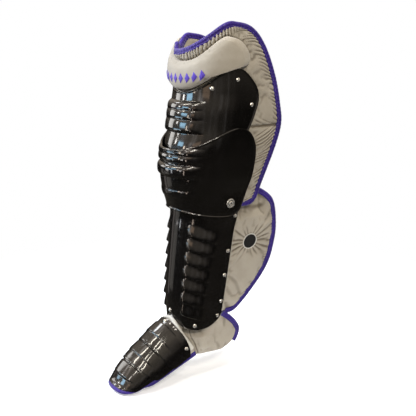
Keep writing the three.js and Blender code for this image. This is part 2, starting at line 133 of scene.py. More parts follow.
SHIN_PANEL = {
    "front": (-347, -74), "ease": (0.55, 1),
    "side": [(-44, -350), (6, -337.5), (22, -340.5), (46, -333), (90, -284), (122, -232),
             (135, -176), (138, -124), (134, -92), (120, -69), (96, -55), (50, -52)],
    "inner": [(-44, -350), (4, -338), (20, -316), (30, -236), (38, -176), (45, -130),
              (48, -92), (42, -66), (30, -56), (16, -54)],
}
FLAP_FRONT = [(-70, -438), (-84, -410), (-95, -368)]
FLAP_BACK = [(12, -444), (40, -429), (52, -404), (44, -386), (27, -367), (3, -347)]

# Raised blocks of the thigh and knee shells: lower and upper edge, rise, heights of their creases
THIGH_BLOCKS = [(91, 161, 7.0, (121, 142))]
KNEE_BLOCKS = [(26, 60, 3.2, (44,)), (-7, 22, 5.2, ()), (-58, -36, 1.3, ())]
SHIN_RIBS = {"first": -100, "pitch": 32.4, "count": 7, "rise": 4.8, "slant": 0.3,
             "front": 27, "rear": 74}

# Foot plates: start, end, reach of the arch, lift of the lower edge, bow of both edges, rear trim
PLATES = {
    "instep_plate": (8.5, 62, 90, 3.4, 0, 20, 1),
    "mid_plate": (51, 107, 90, 3.4, 20, 30, 0),
    "toe_plate": (96, 153, 87, 0.1, 30, 40, 0),
}

THIGH_RIVETS = [(-32, 190), (17, 208), (53, 153)]
SHIN_RIVETS = [(24, -100), (11, -185), (5, -245), (-1, -311), (-9, -347), (-67, -362)]
SHIN_FRONT_RIVET = -332
FOOT_RIVET = {"t": 15, "angle": 76}
PATCH = {"y": 74, "z": -172, "radius": 18}

# Rounded rims of the shells and plates: widths, and the angle from which an edge counts as rim
RIM = {"shell": 0.9, "plate": 0.4, "angle": 50}

# Blender's cloth for the covers, and the frames that it runs
COVER_CLOTH = {
    "quality": 6, "mass": 0.2, "tension_stiffness": 18, "compression_stiffness": 18,
    "shear_stiffness": 6, "bending_stiffness": 1.5, "use_pressure": True,
    "uniform_pressure_force": 4,
}
COVER_FRAMES = 20

# Painted shade in the cloth's creases: the depth at which it is painted fully dark, and the rounds of
# smoothing that the depth is measured from
CREASE_SHADING = {"depth": 0.55, "rounds": 9}
FIELD = 64


def ease(x):
    x = np.clip(x, 0, 1)
    return x * x * (3 - 2 * x)


def mix(a, b, t):
    return a + (b - a) * t


def column(xs, ys, x):
    """A cubic through the rows of a table that doesn't overshoot."""
    step = np.diff(ys) / np.diff(xs)
    slope = np.zeros(len(xs))
    a, b = step[:-1], step[1:]
    same = a * b > 0
    slope[1:-1][same] = 2 * a[same] * b[same] / (a + b)[same]
    x = np.asarray(x, float)
    i = np.clip(np.searchsorted(xs, x, side="right") - 1, 0, len(xs) - 2)
    h = xs[i + 1] - xs[i]
    t = np.clip((x - xs[i]) / h, 0, 1)
    return ((1 + 2 * t) * (1 - t) ** 2 * ys[i] + t * (1 - t) ** 2 * h * slope[i]
            + t * t * (3 - 2 * t) * ys[i + 1] + t * t * (t - 1) * h * slope[i + 1])


def wander(seed, x, y=0.0):
    """Smooth random field from -1 to 1 with one value a unit."""
    values = np.random.default_rng(seed).uniform(-1, 1, (FIELD, FIELD))
    x, y = np.broadcast_arrays(np.asarray(x, float), np.asarray(y, float))
    i, j = np.floor(x).astype(int), np.floor(y).astype(int)
    s, t = ease(x - i), ease(y - j)
    i, j, i_next, j_next = (k % FIELD for k in (i, j, i + 1, j + 1))
    near = mix(values[i, j], values[i_next, j], s)
    far = mix(values[i, j_next], values[i_next, j_next], s)
    return mix(near, far, t)


def section(z):
    front, half, depth, flare = (column(LEG_Z, c, z) for c in
                                 (LEG_FRONT, LEG_HALF, LEG_ROUND, LEG_FLARE))
    k = ((half - depth) / (half + depth)) ** 2
    arc = math.pi / 4 * (half + depth) * (1 + 3 * k / (10 + np.sqrt(4 - 3 * k)))
    return half, depth, flare, depth - front, arc


def leg_point(g, z, d):
    """Place at girth g from the front line, height z, and d outside the padding."""
    g, z, d = np.broadcast_arrays(*(np.asarray(a, float) for a in (g, z, d)))
    half, depth, flare, mid, arc = section(z)
    run = np.abs(g) - arc
    lean = np.arctan(flare * run)
    angle = np.abs(g) / arc * math.pi / 2
    nx, ny = np.sin(angle) / half, -np.cos(angle) / depth
    size = np.hypot(nx, ny)
    on_side = run > 0
    x = np.where(on_side, half + flare * run * run / 2 + d * np.cos(lean),
                 half * np.sin(angle) + nx / size * d)
    y = np.where(on_side, mid + run - d * np.sin(lean),
                 mid - depth * np.cos(angle) + ny / size * d)
    return np.stack([np.where(g < 0, -x, x), y, z], -1)


def girth_of(y, z):
    half, depth, flare, mid, arc = section(z)
    y = np.asarray(y, float)
    front = arc * np.arccos(np.clip((mid - y) / depth, 0, 1)) / (math.pi / 2)
    return np.where(y >= mid, arc + y - mid, front)


def depth_at(g, z):
    return leg_point(g, z, 0)[..., 1]


def inset_of(g, s):
    """Millimetres of girth in from a panel's side edge."""
    return (1 - s) * np.abs(g) / np.maximum(s, 0.2)


def angle_of(g, z):
    return np.abs(g) / section(z)[4] * 90


def foot_point(angle, t, d):
    angle, t, d = np.broadcast_arrays(*(np.asarray(a, float) for a in (angle, t, d)))
    half, height = column(FOOT_T, FOOT_HALF, t), column(FOOT_T, FOOT_HEIGHT, t)
    a = np.radians(angle)
    nx, ny = np.sin(a) / half, np.cos(a) / height
    size = np.hypot(nx, ny)
    up = height * np.maximum(0, np.cos(a)) ** FOOT_LINE["square"] + ny / size * d
    x = half * np.sign(a) * np.abs(np.sin(a)) ** FOOT_LINE["square"] + nx / size * d
    pitch = math.radians(FOOT_LINE["pitch"])
    c, s = math.cos(pitch), math.sin(pitch)
    return np.stack([x, FOOT_LINE["y"] - t * c - up * s, FOOT_LINE["z"] - t * s + up * c], -1)


def smooth_line(rows):
    """Curve through the rows, read by its share of the length."""
    p = np.array(rows, float)
    n = len(p) - 1
    t = np.linspace(0, n, 60 * n + 1)
    i = np.minimum(t.astype(int), n - 1)
    w = (t - i)[:, None]
    p0, p1, p2, p3 = p[np.maximum(i - 1, 0)], p[i], p[i + 1], p[np.minimum(i + 2, n)]
    v0, v1 = (p2 - p0) / 2, (p3 - p1) / 2
    line = ((2 * p1 - 2 * p2 + v0 + v1) * w ** 3 + (-3 * p1 + 3 * p2 - 2 * v0 - v1) * w ** 2
            + v0 * w + p1)
    length = np.concatenate([[0], np.cumsum(np.linalg.norm(np.diff(line, axis=0), axis=1))])

    def at(v):
        where = np.clip(v, 0, 1) * length[-1]
        return np.interp(where, length, line[:, 0]), np.interp(where, length, line[:, 1])
    at.length = length[-1]
    return at


def fan(shape):
    """Girth, height and share of the way to the side, of a panel that fans from the front line."""
    outer = smooth_line(shape["side"])
    inner = smooth_line(shape.get("inner", shape["side"]))

    def place(u, v):
        s = np.abs(u)
        low = shape.get("notch", 0) * ease((v - 0.75) / 0.25)
        yo, zo = outer(v)
        yi, zi = inner(v)
        g = np.sign(u) * s * np.where(u < 0, girth_of(yi, zi), girth_of(yo, zo))
        edge = np.where(u < low, zi - shape.get("drop", 0) * ease((zi - 150) / 170), zo)
        away = np.abs(u - low) / np.where(u < low, 1 + low, 1 - low)
        climb = ease(away ** mix(*shape["ease"], v))
        return g, mix(mix(*shape["front"], v), edge, climb), s
    place.length = outer.length
    return place


def puff(in_u, in_v):
    return mix(EDGE, 1, np.sqrt(ease(np.minimum(in_u, in_v))))


def pinch(v, share):
    return np.minimum(v, 1 - v) / share


def panel_puff(s, v):
    """Share of the full thickness, less towards a panel's taped edges."""
    return puff((1 - s) / PINCH["side"], pinch(v, PINCH["end"]))


def hump(x, width):
    return np.exp(-(x / width) ** 2)


def scallop(x, power=1):
    """Row of round ridges from 0 to 1, one a unit."""
    return np.abs(np.sin(math.pi * x)) ** power


def unit(values):
    return values / np.linalg.norm(values, axis=-1, keepdims=True)


# Meshes


def in_scene(name, data):
    made = bpy.data.objects.new(name, data)
    bpy.context.scene.collection.objects.link(made)
    return made


def new_piece(name, points, faces, flat=None, finish=None):
    """Mesh object from points in millimetres, with a flat pattern in metres as its UV map."""
    mesh = bpy.data.meshes.new(name)
    mesh.from_pydata((np.asarray(points) / 1000).tolist(), [], faces)
    if flat is not None:
        corner = np.zeros(len(mesh.loops), int)
        mesh.loops.foreach_get("vertex_index", corner)
        layer = mesh.uv_layers.new(name="pattern")
        layer.data.foreach_set("uv", (np.asarray(flat)[corner] / 1000).astype(np.float32).ravel())
    mesh.shade_smooth()
    if finish:
        mesh.materials.append(finish)
    return in_scene(name, mesh)


def grid_faces(index):
    low, high = index[:-1], index[1:]
    return np.stack([low[:, :-1], low[:, 1:], high[:, 1:], high[:, :-1]], -1).reshape(-1, 4)


def wall_faces(nv, nu, step):
    """Faces of a wall: a fine outer grid, an inner one on every step-th line, and the rim."""
    a = np.arange(nv * nu).reshape(nv, nu)
    mv, mu = (nv - 1) // step + 1, (nu - 1) // step + 1
    b = np.arange(mv * mu).reshape(mv, mu) + nv * nu
    faces = grid_faces(a).tolist() + grid_faces(b)[:, ::-1].tolist()
    for fine, rough, back in ((a[0], b[0], True), (a[-1], b[-1], False),
                              (a[:, 0], b[:, 0], False), (a[:, -1], b[:, -1], True)):
        for k in range(len(rough) - 1):
            run = fine[k * step:(k + 1) * step + 1].tolist()
            ring = run + [int(rough[k + 1]), int(rough[k])]
            faces.append(ring[::-1] if back else ring)
    return faces


def wall(name, us, vs, place, flat, finish, step=2):
    """Closed wall over the lines us and vs; place(u, v, face) gives millimetres."""
    u, v = np.meshgrid(us, vs)
    iu, iv = u[::step, ::step], v[::step, ::step]
    outer, inner = place(u, v, 1), place(iu, iv, 0)
    points = np.concatenate([outer.reshape(-1, 3), inner.reshape(-1, 3)])
    pattern = np.concatenate([np.stack(flat(u, v), -1).reshape(-1, 2),
                              np.stack(flat(iu, iv), -1).reshape(-1, 2)])
    piece = new_piece(name, points, wall_faces(*u.shape, step), pattern, finish)
    # Painted shade: how deep each outer point lies in the creases, kept for the cloth to darken by
    crease = np.zeros(len(points), np.float32)
    crease[:u.size] = crease_shade_share(outer).ravel()
    piece.data.attributes.new("crease", "FLOAT", "POINT").data.foreach_set("value", crease)
    return piece


def crease_shade_share(points):
    """How far each point of a grid lies down in creases, from 0 to 1, which sets the painted shade of the
    cloth there.
    """
    soft = points
    for turn in range(CREASE_SHADING["rounds"]):
        wide = np.pad(soft, ((1, 1), (1, 1), (0, 0)), "edge")
        soft = (wide[2:, 1:-1] + wide[:-2, 1:-1] + wide[1:-1, 2:] + wide[1:-1, :-2]) / 4
    out = np.cross(np.gradient(soft, axis=1), np.gradient(soft, axis=0))
    out = out / np.maximum(np.linalg.norm(out, axis=-1, keepdims=True), 1e-9)
    deep = ((soft - points) * out).sum(-1)
    deep[[0, -1]] = 0
    deep[:, [0, -1]] = 0
    return np.clip(deep / CREASE_SHADING["depth"], 0, 1)


def knots(lines, x):
    """The four lines about each place and their weights on a smooth cubic."""
    where = np.interp(x, lines, np.arange(len(lines)))
    i = np.minimum(where.astype(int), len(lines) - 2)
    t = where - i
    weights = ((1 - t) ** 3, 3 * t ** 3 - 6 * t ** 2 + 4,
               -3 * t ** 3 + 3 * t ** 2 + 3 * t + 1, t ** 3)
    return [(np.clip(i + k - 1, 0, len(lines) - 1), w / 6) for k, w in enumerate(weights)]


def swelled(sheet, swell, mirror=(1, 1, 1)):
    """The sheet with its simulated swell added to the outer face."""
    if swell is None:
        return sheet
    us, vs, moved = swell

    def place(u, v, face):
        at = sheet(u, v, face)
        if not face:
            return at
        u, v = np.broadcast_arrays(u, v)
        for iu, wu in knots(us, u):
            for iv, wv in knots(vs, v):
                at = at + (wu * wv)[..., None] * moved[iv, iu] * mirror
        return at
    return place


def cloth_swell(us, vs, place, sewn, slack, most):
    """Swells a cover as simulated cloth and tells how far each point moved, in millimetres."""
    u, v = np.meshgrid(us, vs)
    start = place(u, v, 1).reshape(-1, 3)
    piece = new_piece("cover", start, grid_faces(np.arange(u.size).reshape(u.shape)).tolist())
    group = piece.vertex_groups.new(name="sewn")
    held = np.asarray(sewn(u, v), bool)
    held[[0, -1]] = True
    held[:, [0, -1]] = True
    group.add(np.flatnonzero(held.ravel()).tolist(), 1.0, "REPLACE")
    cloth = piece.modifiers.new("cover", "CLOTH")
    settings = cloth.settings
    for key, value in COVER_CLOTH.items():
        setattr(settings, key, value)
    settings.vertex_group_mass = "sewn"
    settings.shrink_min = -slack
    settings.shrink_max = -slack
    settings.effector_weights.gravity = 0
    cloth.collision_settings.use_collision = False
    scene = bpy.context.scene
    for number in range(1, COVER_FRAMES + 1):
        scene.frame_set(number)
    made = piece.evaluated_get(bpy.context.evaluated_depsgraph_get()).data
    ended = np.zeros(u.size * 3, np.float32)
    made.vertices.foreach_get("co", ended)
    moved = ended.reshape(-1, 3) * 1000 - start
    size = np.linalg.norm(moved, axis=1, keepdims=True)
    moved = moved * np.minimum(1, most / np.maximum(size, 1e-6))
    mesh = piece.data
    bpy.data.objects.remove(piece)
    bpy.data.meshes.remove(mesh)
    scene.frame_set(1)
    return us, vs, moved.reshape(*u.shape, 3)


def spread(parts):
    """Lines of a grid: (from, to, count) runs joined end to end."""
    lines = [np.linspace(a, b, n, endpoint=False) for a, b, n in parts]
    return np.concatenate([*lines, [parts[-1][1]]])


def soften_edges(piece, width):
    """Rounds the rim of a moulded wall."""
    bevel = piece.modifiers.new("rim", "BEVEL")
    bevel.width = width / 1000
    bevel.segments = 2
    bevel.limit_method = "ANGLE"
    bevel.angle_limit = math.radians(RIM["angle"])
    bevel.harden_normals = False
    return settle(piece)


def settle(piece):
    """Replaces a piece's mesh by what its modifiers make of it."""
    graph = bpy.context.evaluated_depsgraph_get()
    made = bpy.data.meshes.new_from_object(
        piece.evaluated_get(graph), preserve_all_data_layers=True, depsgraph=graph)
    piece.modifiers.clear()
    old, piece.data = piece.data, made
    bpy.data.meshes.remove(old)
    piece.data.name = piece.name
    return piece


def stand_for(piece, body, slot, *nodes):
    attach(piece, body)
    if nodes:
        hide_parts(*nodes)
    return piece


# Materials


class Tree:
    """Adds nodes to a node tree, each with its settings and its inputs."""

    def __init__(self, tree):
        self.nodes = tree.nodes
        self.links = tree.links

    def add(self, kind, inputs=None, **settings):
        """New node; each input is a value or another node's output."""
        node = self.nodes.new(kind)
        for key, value in settings.items():
            setattr(node, key, value)
        for key, value in (inputs or {}).items():
            self.set(node, key, value)
        return node

    def set(self, node, key, value):
        if isinstance(value, bpy.types.NodeSocket):
            self.links.new(value, node.inputs[key])
        else:
            node.inputs[key].default_value = value


def material(name):
    made = bpy.data.materials.new(name)
    made.use_nodes = True
    return made, Tree(made.node_tree)


def coat(made, tree, **sockets):
    """Sets the shader's sockets, each to a value or another node's output."""
    for key, value in sockets.items():
        tree.set(tree.nodes["Principled BSDF"], key.replace("_", " "), value)
    return made


def ramp(tree, source, stops):
    node = tree.add("ShaderNodeValToRGB", {0: source})
    for k, (at, colour) in enumerate(stops):
        stop = node.color_ramp.elements[k] if k < 2 else node.color_ramp.elements.new(at)
        stop.position = at
        stop.color = (*colour, 1)
    return node.outputs[0]


def noise(tree, where, scale, detail=3.0, rough=0.5):
    inputs = {"Vector": where, "Scale": scale, "Detail": detail, "Roughness": rough}
    return tree.add("ShaderNodeTexNoise", inputs).outputs["Fac"]


def span(tree, source, low, high, out_low, out_high):
    inputs = dict(enumerate((source, low, high, out_low, out_high)))
    return tree.add("ShaderNodeMapRange", inputs).outputs[0]


def bump(tree, height, distance, strength, below=None):
    inputs = {"Height": height, "Distance": distance, "Strength": strength}
    if below is not None:
        inputs["Normal"] = below
    return tree.add("ShaderNodeBump", inputs).outputs["Normal"]


def blend(tree, kind, share, under, over):
    inputs = {0: share, 6: under, 7: over}
    return tree.add("ShaderNodeMix", inputs, data_type="RGBA", blend_type=kind).outputs[2]


def threads(tree, where, across, along):
    """Plain weave: product of two bands on the flat pattern."""
    bands = {}
    for k, (direction, count) in enumerate((("X", across), ("Y", along))):
        inputs = {"Vector": where, "Scale": count, "Distortion": 0.6, "Detail": 1.0}
        bands[k] = tree.add("ShaderNodeTexWave", inputs, bands_direction=direction).outputs["Fac"]
    return tree.add("ShaderNodeMath", bands, operation="MULTIPLY").outputs[0]


THREAD_GAP = (0.72, 0.72, 0.72)
# Colour that the cloth is multiplied by as painted shade in its creases
CREASE_SHADE_TINT = (0.42, 0.39, 0.35, 1)


def woven(name, dark, middle, light, across, along, rough, sheen):
    made, tree = material(name)
    where = tree.add("ShaderNodeTexCoord").outputs
    weave = threads(tree, where["UV"], across, along)
    soil = noise(tree, where["Object"], 14, 5, 0.6)
    tint = ramp(tree, soil, [(0.25, dark), (0.75, light), (0.5, middle)])
    gaps = ramp(tree, weave, [(0.0, THREAD_GAP), (0.6, (1, 1, 1))])
    cloth = blend(tree, "MULTIPLY", 0.35, tint, gaps)
    # Painted shade: the cloth darkens towards the shade tint where it lies in creases
    crease = tree.add("ShaderNodeAttribute", attribute_name="crease").outputs["Fac"]
    fluff = bump(tree, noise(tree, where["Object"], 420, 2), 0.0004, 0.12)
    return coat(made, tree, Roughness=rough, Sheen_Weight=sheen, Sheen_Roughness=0.45,
                Specular_IOR_Level=0.3, Base_Color=blend(tree, "MULTIPLY", crease, cloth, CREASE_SHADE_TINT),
                Normal=bump(tree, weave, 0.0003, 0.35, fluff))


def gloss_plastic():
    made, tree = material("gloss_plastic")
    where = tree.add("ShaderNodeTexCoord").outputs["Object"]
    black = ramp(tree, noise(tree, where, 9, 4),
                 [(0.3, (0.0022, 0.002, 0.002)), (0.7, (0.0045, 0.004, 0.0036))])
    stretch = tree.add("ShaderNodeMapping", {"Vector": where, "Scale": (1, 1, 6)}).outputs[0]
    scuffs = noise(tree, stretch, 38, 6, 0.7)
    wave = bump(tree, noise(tree, where, 26, 2), 0.004, 0.04)
    peel = bump(tree, noise(tree, where, 130, 2), 0.0006, 0.03, wave)
    return coat(made, tree, Specular_IOR_Level=0.55, Coat_Weight=0.35, Coat_Roughness=0.04,
                Base_Color=black, Roughness=span(tree, scuffs, 0.35, 0.8, 0.07, 0.22), Normal=peel)


def nickel():
    made, tree = material("nickel")
    wear = noise(tree, tree.add("ShaderNodeTexCoord").outputs["Object"], 260, 4, 0.6)
    metal = ramp(tree, wear, [(0.3, (0.62, 0.6, 0.55)), (0.7, (0.82, 0.8, 0.76))])
    return coat(made, tree, Metallic=0.75, Base_Color=metal,
                Roughness=span(tree, wear, 0.3, 0.75, 0.16, 0.34), Normal=bump(tree, wear, 0.0004, 0.1))


def thread(name, dark, light):
    made, tree = material(name)
    twist = noise(tree, tree.add("ShaderNodeTexCoord").outputs["Object"], 900, 2)
    return coat(made, tree, Roughness=0.55, Sheen_Weight=0.3, Normal=bump(tree, twist, 0.0003, 0.4),
                Base_Color=ramp(tree, twist, [(0.3, dark), (0.7, light)]))


CLOTH = woven("grey_pack_cloth", (0.34, 0.3, 0.238), (0.395, 0.352, 0.284), (0.445, 0.402, 0.332),
              560, 560, 0.82, 0.18)
TAPE = woven("purple_edge_tape", (0.021, 0.0085, 0.14), (0.03, 0.0125, 0.185), (0.043, 0.02, 0.24),
             380, 700, 0.38, 0.24)
PLASTIC = gloss_plastic()
NICKEL = nickel()
GREY_THREAD = thread("grey_thread", (0.22, 0.2, 0.165), (0.36, 0.33, 0.28))
PURPLE_THREAD = thread("purple_thread", (0.03, 0.015, 0.16), (0.075, 0.045, 0.32))
PALE_THREAD = thread("pale_thread", (0.5, 0.48, 0.43), (0.72, 0.7, 0.65))
PURPLE_SATIN = woven("purple_satin", (0.06, 0.028, 0.3), (0.085, 0.044, 0.4), (0.11, 0.062, 0.5),
                     700, 90, 0.42, 0.2)
DARK_TWILL = woven("dark_twill", (0.006, 0.006, 0.007), (0.01, 0.01, 0.011), (0.016, 0.016, 0.017),
                   500, 500, 0.6, 0.1)
# Tongue hem cloth: partly its own paler cloth, partly painted light falling on it from above
PALE_LIT_CLOTH = woven("pale_lining_cloth", (0.56, 0.53, 0.46), (0.63, 0.6, 0.53), (0.69, 0.66, 0.59),
                   520, 520, 0.85, 0.15)

# Thigh panel: gathers run in from the tape, longer creases cross the wings

WING_GATHERS = {"pitch": 9.6, "rise": 3.5, "reach": 17, "fold": 110, "pleat": 45}
TOP_GATHERS = {"pitch": 7.6, "rise": 3.8}
ROLL_TUFTS = {"pitch": 6.5, "rise": 1.6, "groove": 3.2}
TOP_PEAK = {"g": -57, "rise": 15, "width": 9}
TOP_LEAN = 7
SEAM_GROOVE = 4.2

# Rear edge of the shells and the roll over the padding: height and depth
THIGH_COVER = np.array([
    (-80, 38), (-50, 50), (-5, 62), (34, 66), (70, 63), (97, 52), (126, 61), (164, 75),
    (196, 69), (225, 42), (237, 44), (250, 54), (270, 48), (290, 28), (310, 8),
]).T
SHIN_COVER = np.array([
    (-369, -28), (-351, -2), (-316, 5), (-236, 14), (-144, 23), (-100, 31), (-60, 30),
]).T

thigh_place = fan(THIGH_PANEL)
roll_place = fan(THIGH_ROLL)


def roll_rim(across=160, up=30):
    """Girth and height round the roll's sewn rim."""
    us, vs = np.linspace(-1, 1, across), np.linspace(0, 1, up)
    sides = ((us, np.zeros(across)), (np.ones(up), vs),
             (us[::-1], np.ones(across)), (-np.ones(up), vs[::-1]))
    return np.concatenate([np.stack(roll_place(u, v)[:2], 1) for u, v in sides])


ROLL_RIM = roll_rim()


def near_rim(g, z):
    """Distance to the roll's sewn rim, and how far along it the nearest place is."""
    away, along = np.full(np.shape(g), 1e9), np.zeros(np.shape(g))
    length = np.cumsum(np.linalg.norm(np.diff(ROLL_RIM, axis=0, prepend=ROLL_RIM[:1]), axis=1))
    for (rim_g, rim_z), far in zip(ROLL_RIM, length):
        d = np.hypot(g - rim_g, z - rim_z)
        along = np.where(d < away, far, along)
        away = np.minimum(away, d)
    return away, along


def bared(g, z, cover):
    """Millimetres by which a place lies clear of the shells' edge, towards the rear."""
    return depth_at(g, z) - np.interp(z, *cover)


def free_to_fold(g, z, cover):
    return ease((bared(g, z, cover) - 1) / 9)


def wing_folds(u, v, g, z, s):
    """Gathers of the wings, with longer creases and a pleat at the cross seam."""
    along = v * thigh_place.length + np.where(u < 0, 300, 0)
    inset = inset_of(g, s)
    slope = along + 0.5 * inset * np.sign(SEAM_Z - z)
    beat = slope / WING_GATHERS["pitch"] + 0.5 * wander(1, along / 23)
    ridge = scallop(beat + 0.45 * wander(2, slope / 31, inset / 30), 0.75) - 0.6
    long_fold = np.maximum(0, wander(3, slope / 14)) * (1 - 0.65 * ease((z - 170) / 60))
    pleat = hump(z - SEAM_Z + 22, 20)
    reach = WING_GATHERS["reach"] + WING_GATHERS["fold"] * long_fold + WING_GATHERS["pleat"] * pleat
    wing = (1 - ease((inset - 0.25 * reach) / (0.9 * reach))) * ease((v - 0.015) / 0.04)
    wing = wing * (1 - ease((v - 0.97) / 0.025)) * (0.75 + 0.25 * np.exp(-inset / 12) + 0.25 * pleat)
    sag = 0.9 * wander(4, slope / 26, inset / 70) * ease(inset / 10)
    return free_to_fold(g, z, THIGH_COVER) * (WING_GATHERS["rise"] * wing * ridge + sag)


def top_gathers(v, g, s):
    """Gathers of the band under the top tape."""
    beat = g / TOP_GATHERS["pitch"] + 0.4 * wander(5, g / 22) + 0.2 * wander(6, g / 30, v * 50)
    band = ease((v - 0.925) / 0.02) * (1 - 0.7 * ease((s - 0.84) / 0.12))
    return band * (TOP_GATHERS["rise"] * (scallop(beat, 0.7) - 0.62) + 0.8)


def roll_tufts(g, z):
    """Tufts round the roll's sewn rim and the groove that its thread pulls in."""
    away, round_it = near_rim(g, z)
    tuft = scallop(round_it / ROLL_TUFTS["pitch"] + 0.4 * wander(8, round_it / 20), 0.7) - 0.6
    return ROLL_TUFTS["rise"] * tuft * hump(away - 5, 6) - ROLL_TUFTS["groove"] * hump(away, 2.6)


def thigh_sheet(u, v, face):
    g, z, s = thigh_place(u, v)
    z = z + TOP_PEAK["rise"] * hump(g - TOP_PEAK["g"], TOP_PEAK["width"]) * ease((v - 0.9) / 0.1)
    half = THIGH_PAD / 2
    full = panel_puff(s, v)
    lean = TOP_LEAN * ease((v - 0.92) / 0.08) * (1 - ease((s - 0.3) / 0.4)) - half
    if face is None:
        return leg_point(g, z, lean)
    if not face:
        return leg_point(g, z, lean - half * full)
    folds = wing_folds(u, v, g, z, s) + top_gathers(v, g, s) + roll_tufts(g, z)
    seam = ease((s - 0.6) / 0.1) * hump(z - SEAM_Z, 3.5)
    return leg_point(g, z, half * full + folds * (1 - seam) - SEAM_GROOVE * seam + lean)


def thigh_sewn(u, v):
    g, z, s = thigh_place(u, v)
    return (bared(g, z, THIGH_COVER) < 4) | (np.abs(z - SEAM_Z) < 3) | (v > 0.93)


def girth_and_height(place):
    def flat(u, v):
        g, z, s = place(u, v)
        return g, z
    return flat


thigh_swell = cloth_swell(spread([(-1, -0.6, 22), (-0.6, 0.6, 12), (0.6, 1, 22)]),
                          np.linspace(0, 1, 97), thigh_sheet, thigh_sewn, slack=0.015, most=4.5)
thigh_face = swelled(thigh_sheet, thigh_swell)
thigh_cover = wall("thigh_cover", spread([(-1, -0.6, 80), (-0.6, 0.6, 116), (0.6, 1, 80)]),
                   spread([(0, 0.9, 240), (0.9, 1, 40)]), thigh_face,
                   girth_and_height(thigh_place), CLOTH, 4)
stand_for(thigh_cover, "pad", "cloth", "thigh_panel")

# Thigh roll

ROLL_RIM_LIFT = 0.9
ROLL_BACK = 0.2


def roll_sheet(u, v, face):
    g, z, s = roll_place(u, v)
    if not face:
        return leg_point(g, z, np.full_like(g, ROLL_BACK))
    crown = np.clip(4 * v * (1 - v), 0, 1) ** 0.42 * np.clip((1 - s) / 0.16, 0, 1) ** 0.42
    dimple = 0.5 * wander(11, g / 34, z / 22) + 0.3 * wander(12, g / 13, z / 10)
    round_rim = np.where(s > 0.9, z, g)
    tuck = np.sin(2 * math.pi * (round_rim / 5.4 + 0.4 * wander(13, round_rim / 17)))
    rise = (SEAT + ROLL - ROLL_RIM_LIFT + dimple) * crown + 0.3 * tuck * hump(crown - 0.35, 0.24)
    return leg_point(g, z, ROLL_RIM_LIFT + rise)


roll_swell = cloth_swell(np.linspace(-1, 1, 71), np.linspace(0, 1, 15), roll_sheet,
                         lambda u, v: np.zeros(u.shape, bool), slack=0.015, most=3)
roll_face = swelled(roll_sheet, roll_swell)
thigh_bolster = wall("thigh_bolster", spread([(-1, -0.8, 40), (-0.8, 0.8, 120), (0.8, 1, 40)]),
                     spread([(0, 0.15, 14), (0.15, 0.85, 32), (0.85, 1, 14)]), roll_face,
                     girth_and_height(roll_place), CLOTH)
stand_for(thigh_bolster, "pad", "cloth", "thigh_roll")

# Gloss shells


def ribs(blocks, z, angle, start, end):
    """Rise of rounded ribs that die away towards the sides."""
    fade = 1 - ease((angle - start) / (end - start))
    rise = 0
    for low, high, most, creases in blocks:
        mid, half = (low + high) / 2, (high - low) / 2
        rise = rise + most * np.clip(1 - (np.abs(z - mid) / half) ** (half / 3.2), 0, 1) ** 0.8
        marks = (low, *creases, high)
        for bottom, top in zip(marks[:-1], marks[1:]):
            across = np.clip(2 * np.abs(z - (bottom + top) / 2) / (top - bottom), 0, 1)
            rib = min(1.5, most / 2.4) * (1 - across ** 3)
            rise = rise + np.where((z > bottom) & (z < top), rib, 0)
    return rise * fade


def bead(u, v, wide, tall):
    """Raised bead just inside the edge of a moulded shell."""
    away = np.minimum((1 - np.abs(u)) * wide, np.minimum(v, 1 - v) * tall)
    return 1.3 * hump(away - 2.4, 1.8)


KNEE_GAP = {"side": 2, "front": 3.4}
thigh_shell_place = fan(THIGH_SHELL)
knee_place = fan(KNEE_SHELL)
shin_shell_place = fan(SHIN_SHELL)


def thigh_shell_sheet(u, v, face):
    g, z, s = thigh_shell_place(u, v)
    rise = ribs(THIGH_BLOCKS, z, angle_of(g, z), start=24, end=46)
    return leg_point(g, z, SEAT + rise + (SHELL + bead(u, v, wide=190, tall=150) if face else 0))


def knee_stand(angle):
    """Stand of the knee shell off the padding, further off in front where its rim swings."""
    return SEAT + SHELL + KNEE_GAP["side"] + KNEE_GAP["front"] * (1 - ease((angle - 35) / 45))


def knee_sheet(u, v, face):
    g, z, s = knee_place(u, v)
    angle = angle_of(g, z)
    rise = knee_stand(angle) + ribs(KNEE_BLOCKS, z, angle, start=26, end=54)
    return leg_point(g, z, rise + (SHELL + bead(u, v, wide=200, tall=170) if face else 0))


def shin_rise(g, z):
    """Slanted bars beside a smooth spine, with rounded front ends and a drop at the lower edge."""
    along = (SHIN_RIBS["first"] - (z + SHIN_RIBS["slant"] * np.abs(g))) / SHIN_RIBS["pitch"]
    down = along % 1
    across = np.abs(2 * down - 1)
    angle = angle_of(g, z)
    front = ease((angle - SHIN_RIBS["front"] - 5 * across ** 2) / 7)
    rear = 1 - ease((angle - SHIN_RIBS["rear"]) / 14)
    climb = 0.5 * ease(down / 0.8) + 0.5 * np.minimum(1, down / 0.8)
    bar = front * rear * climb * (1 - ease((down - 0.86) / 0.14))
    inside = (along > 0) & (along < SHIN_RIBS["count"])
    return np.where(inside, SHIN_RIBS["rise"] * bar, 0)


def shin_shell_sheet(u, v, face):
    g, z, s = shin_shell_place(u, v)
    thick = SHELL + bead(u, v, wide=130, tall=300) if face else 0
    return leg_point(g, z, SEAT + shin_rise(g, z) + thick)


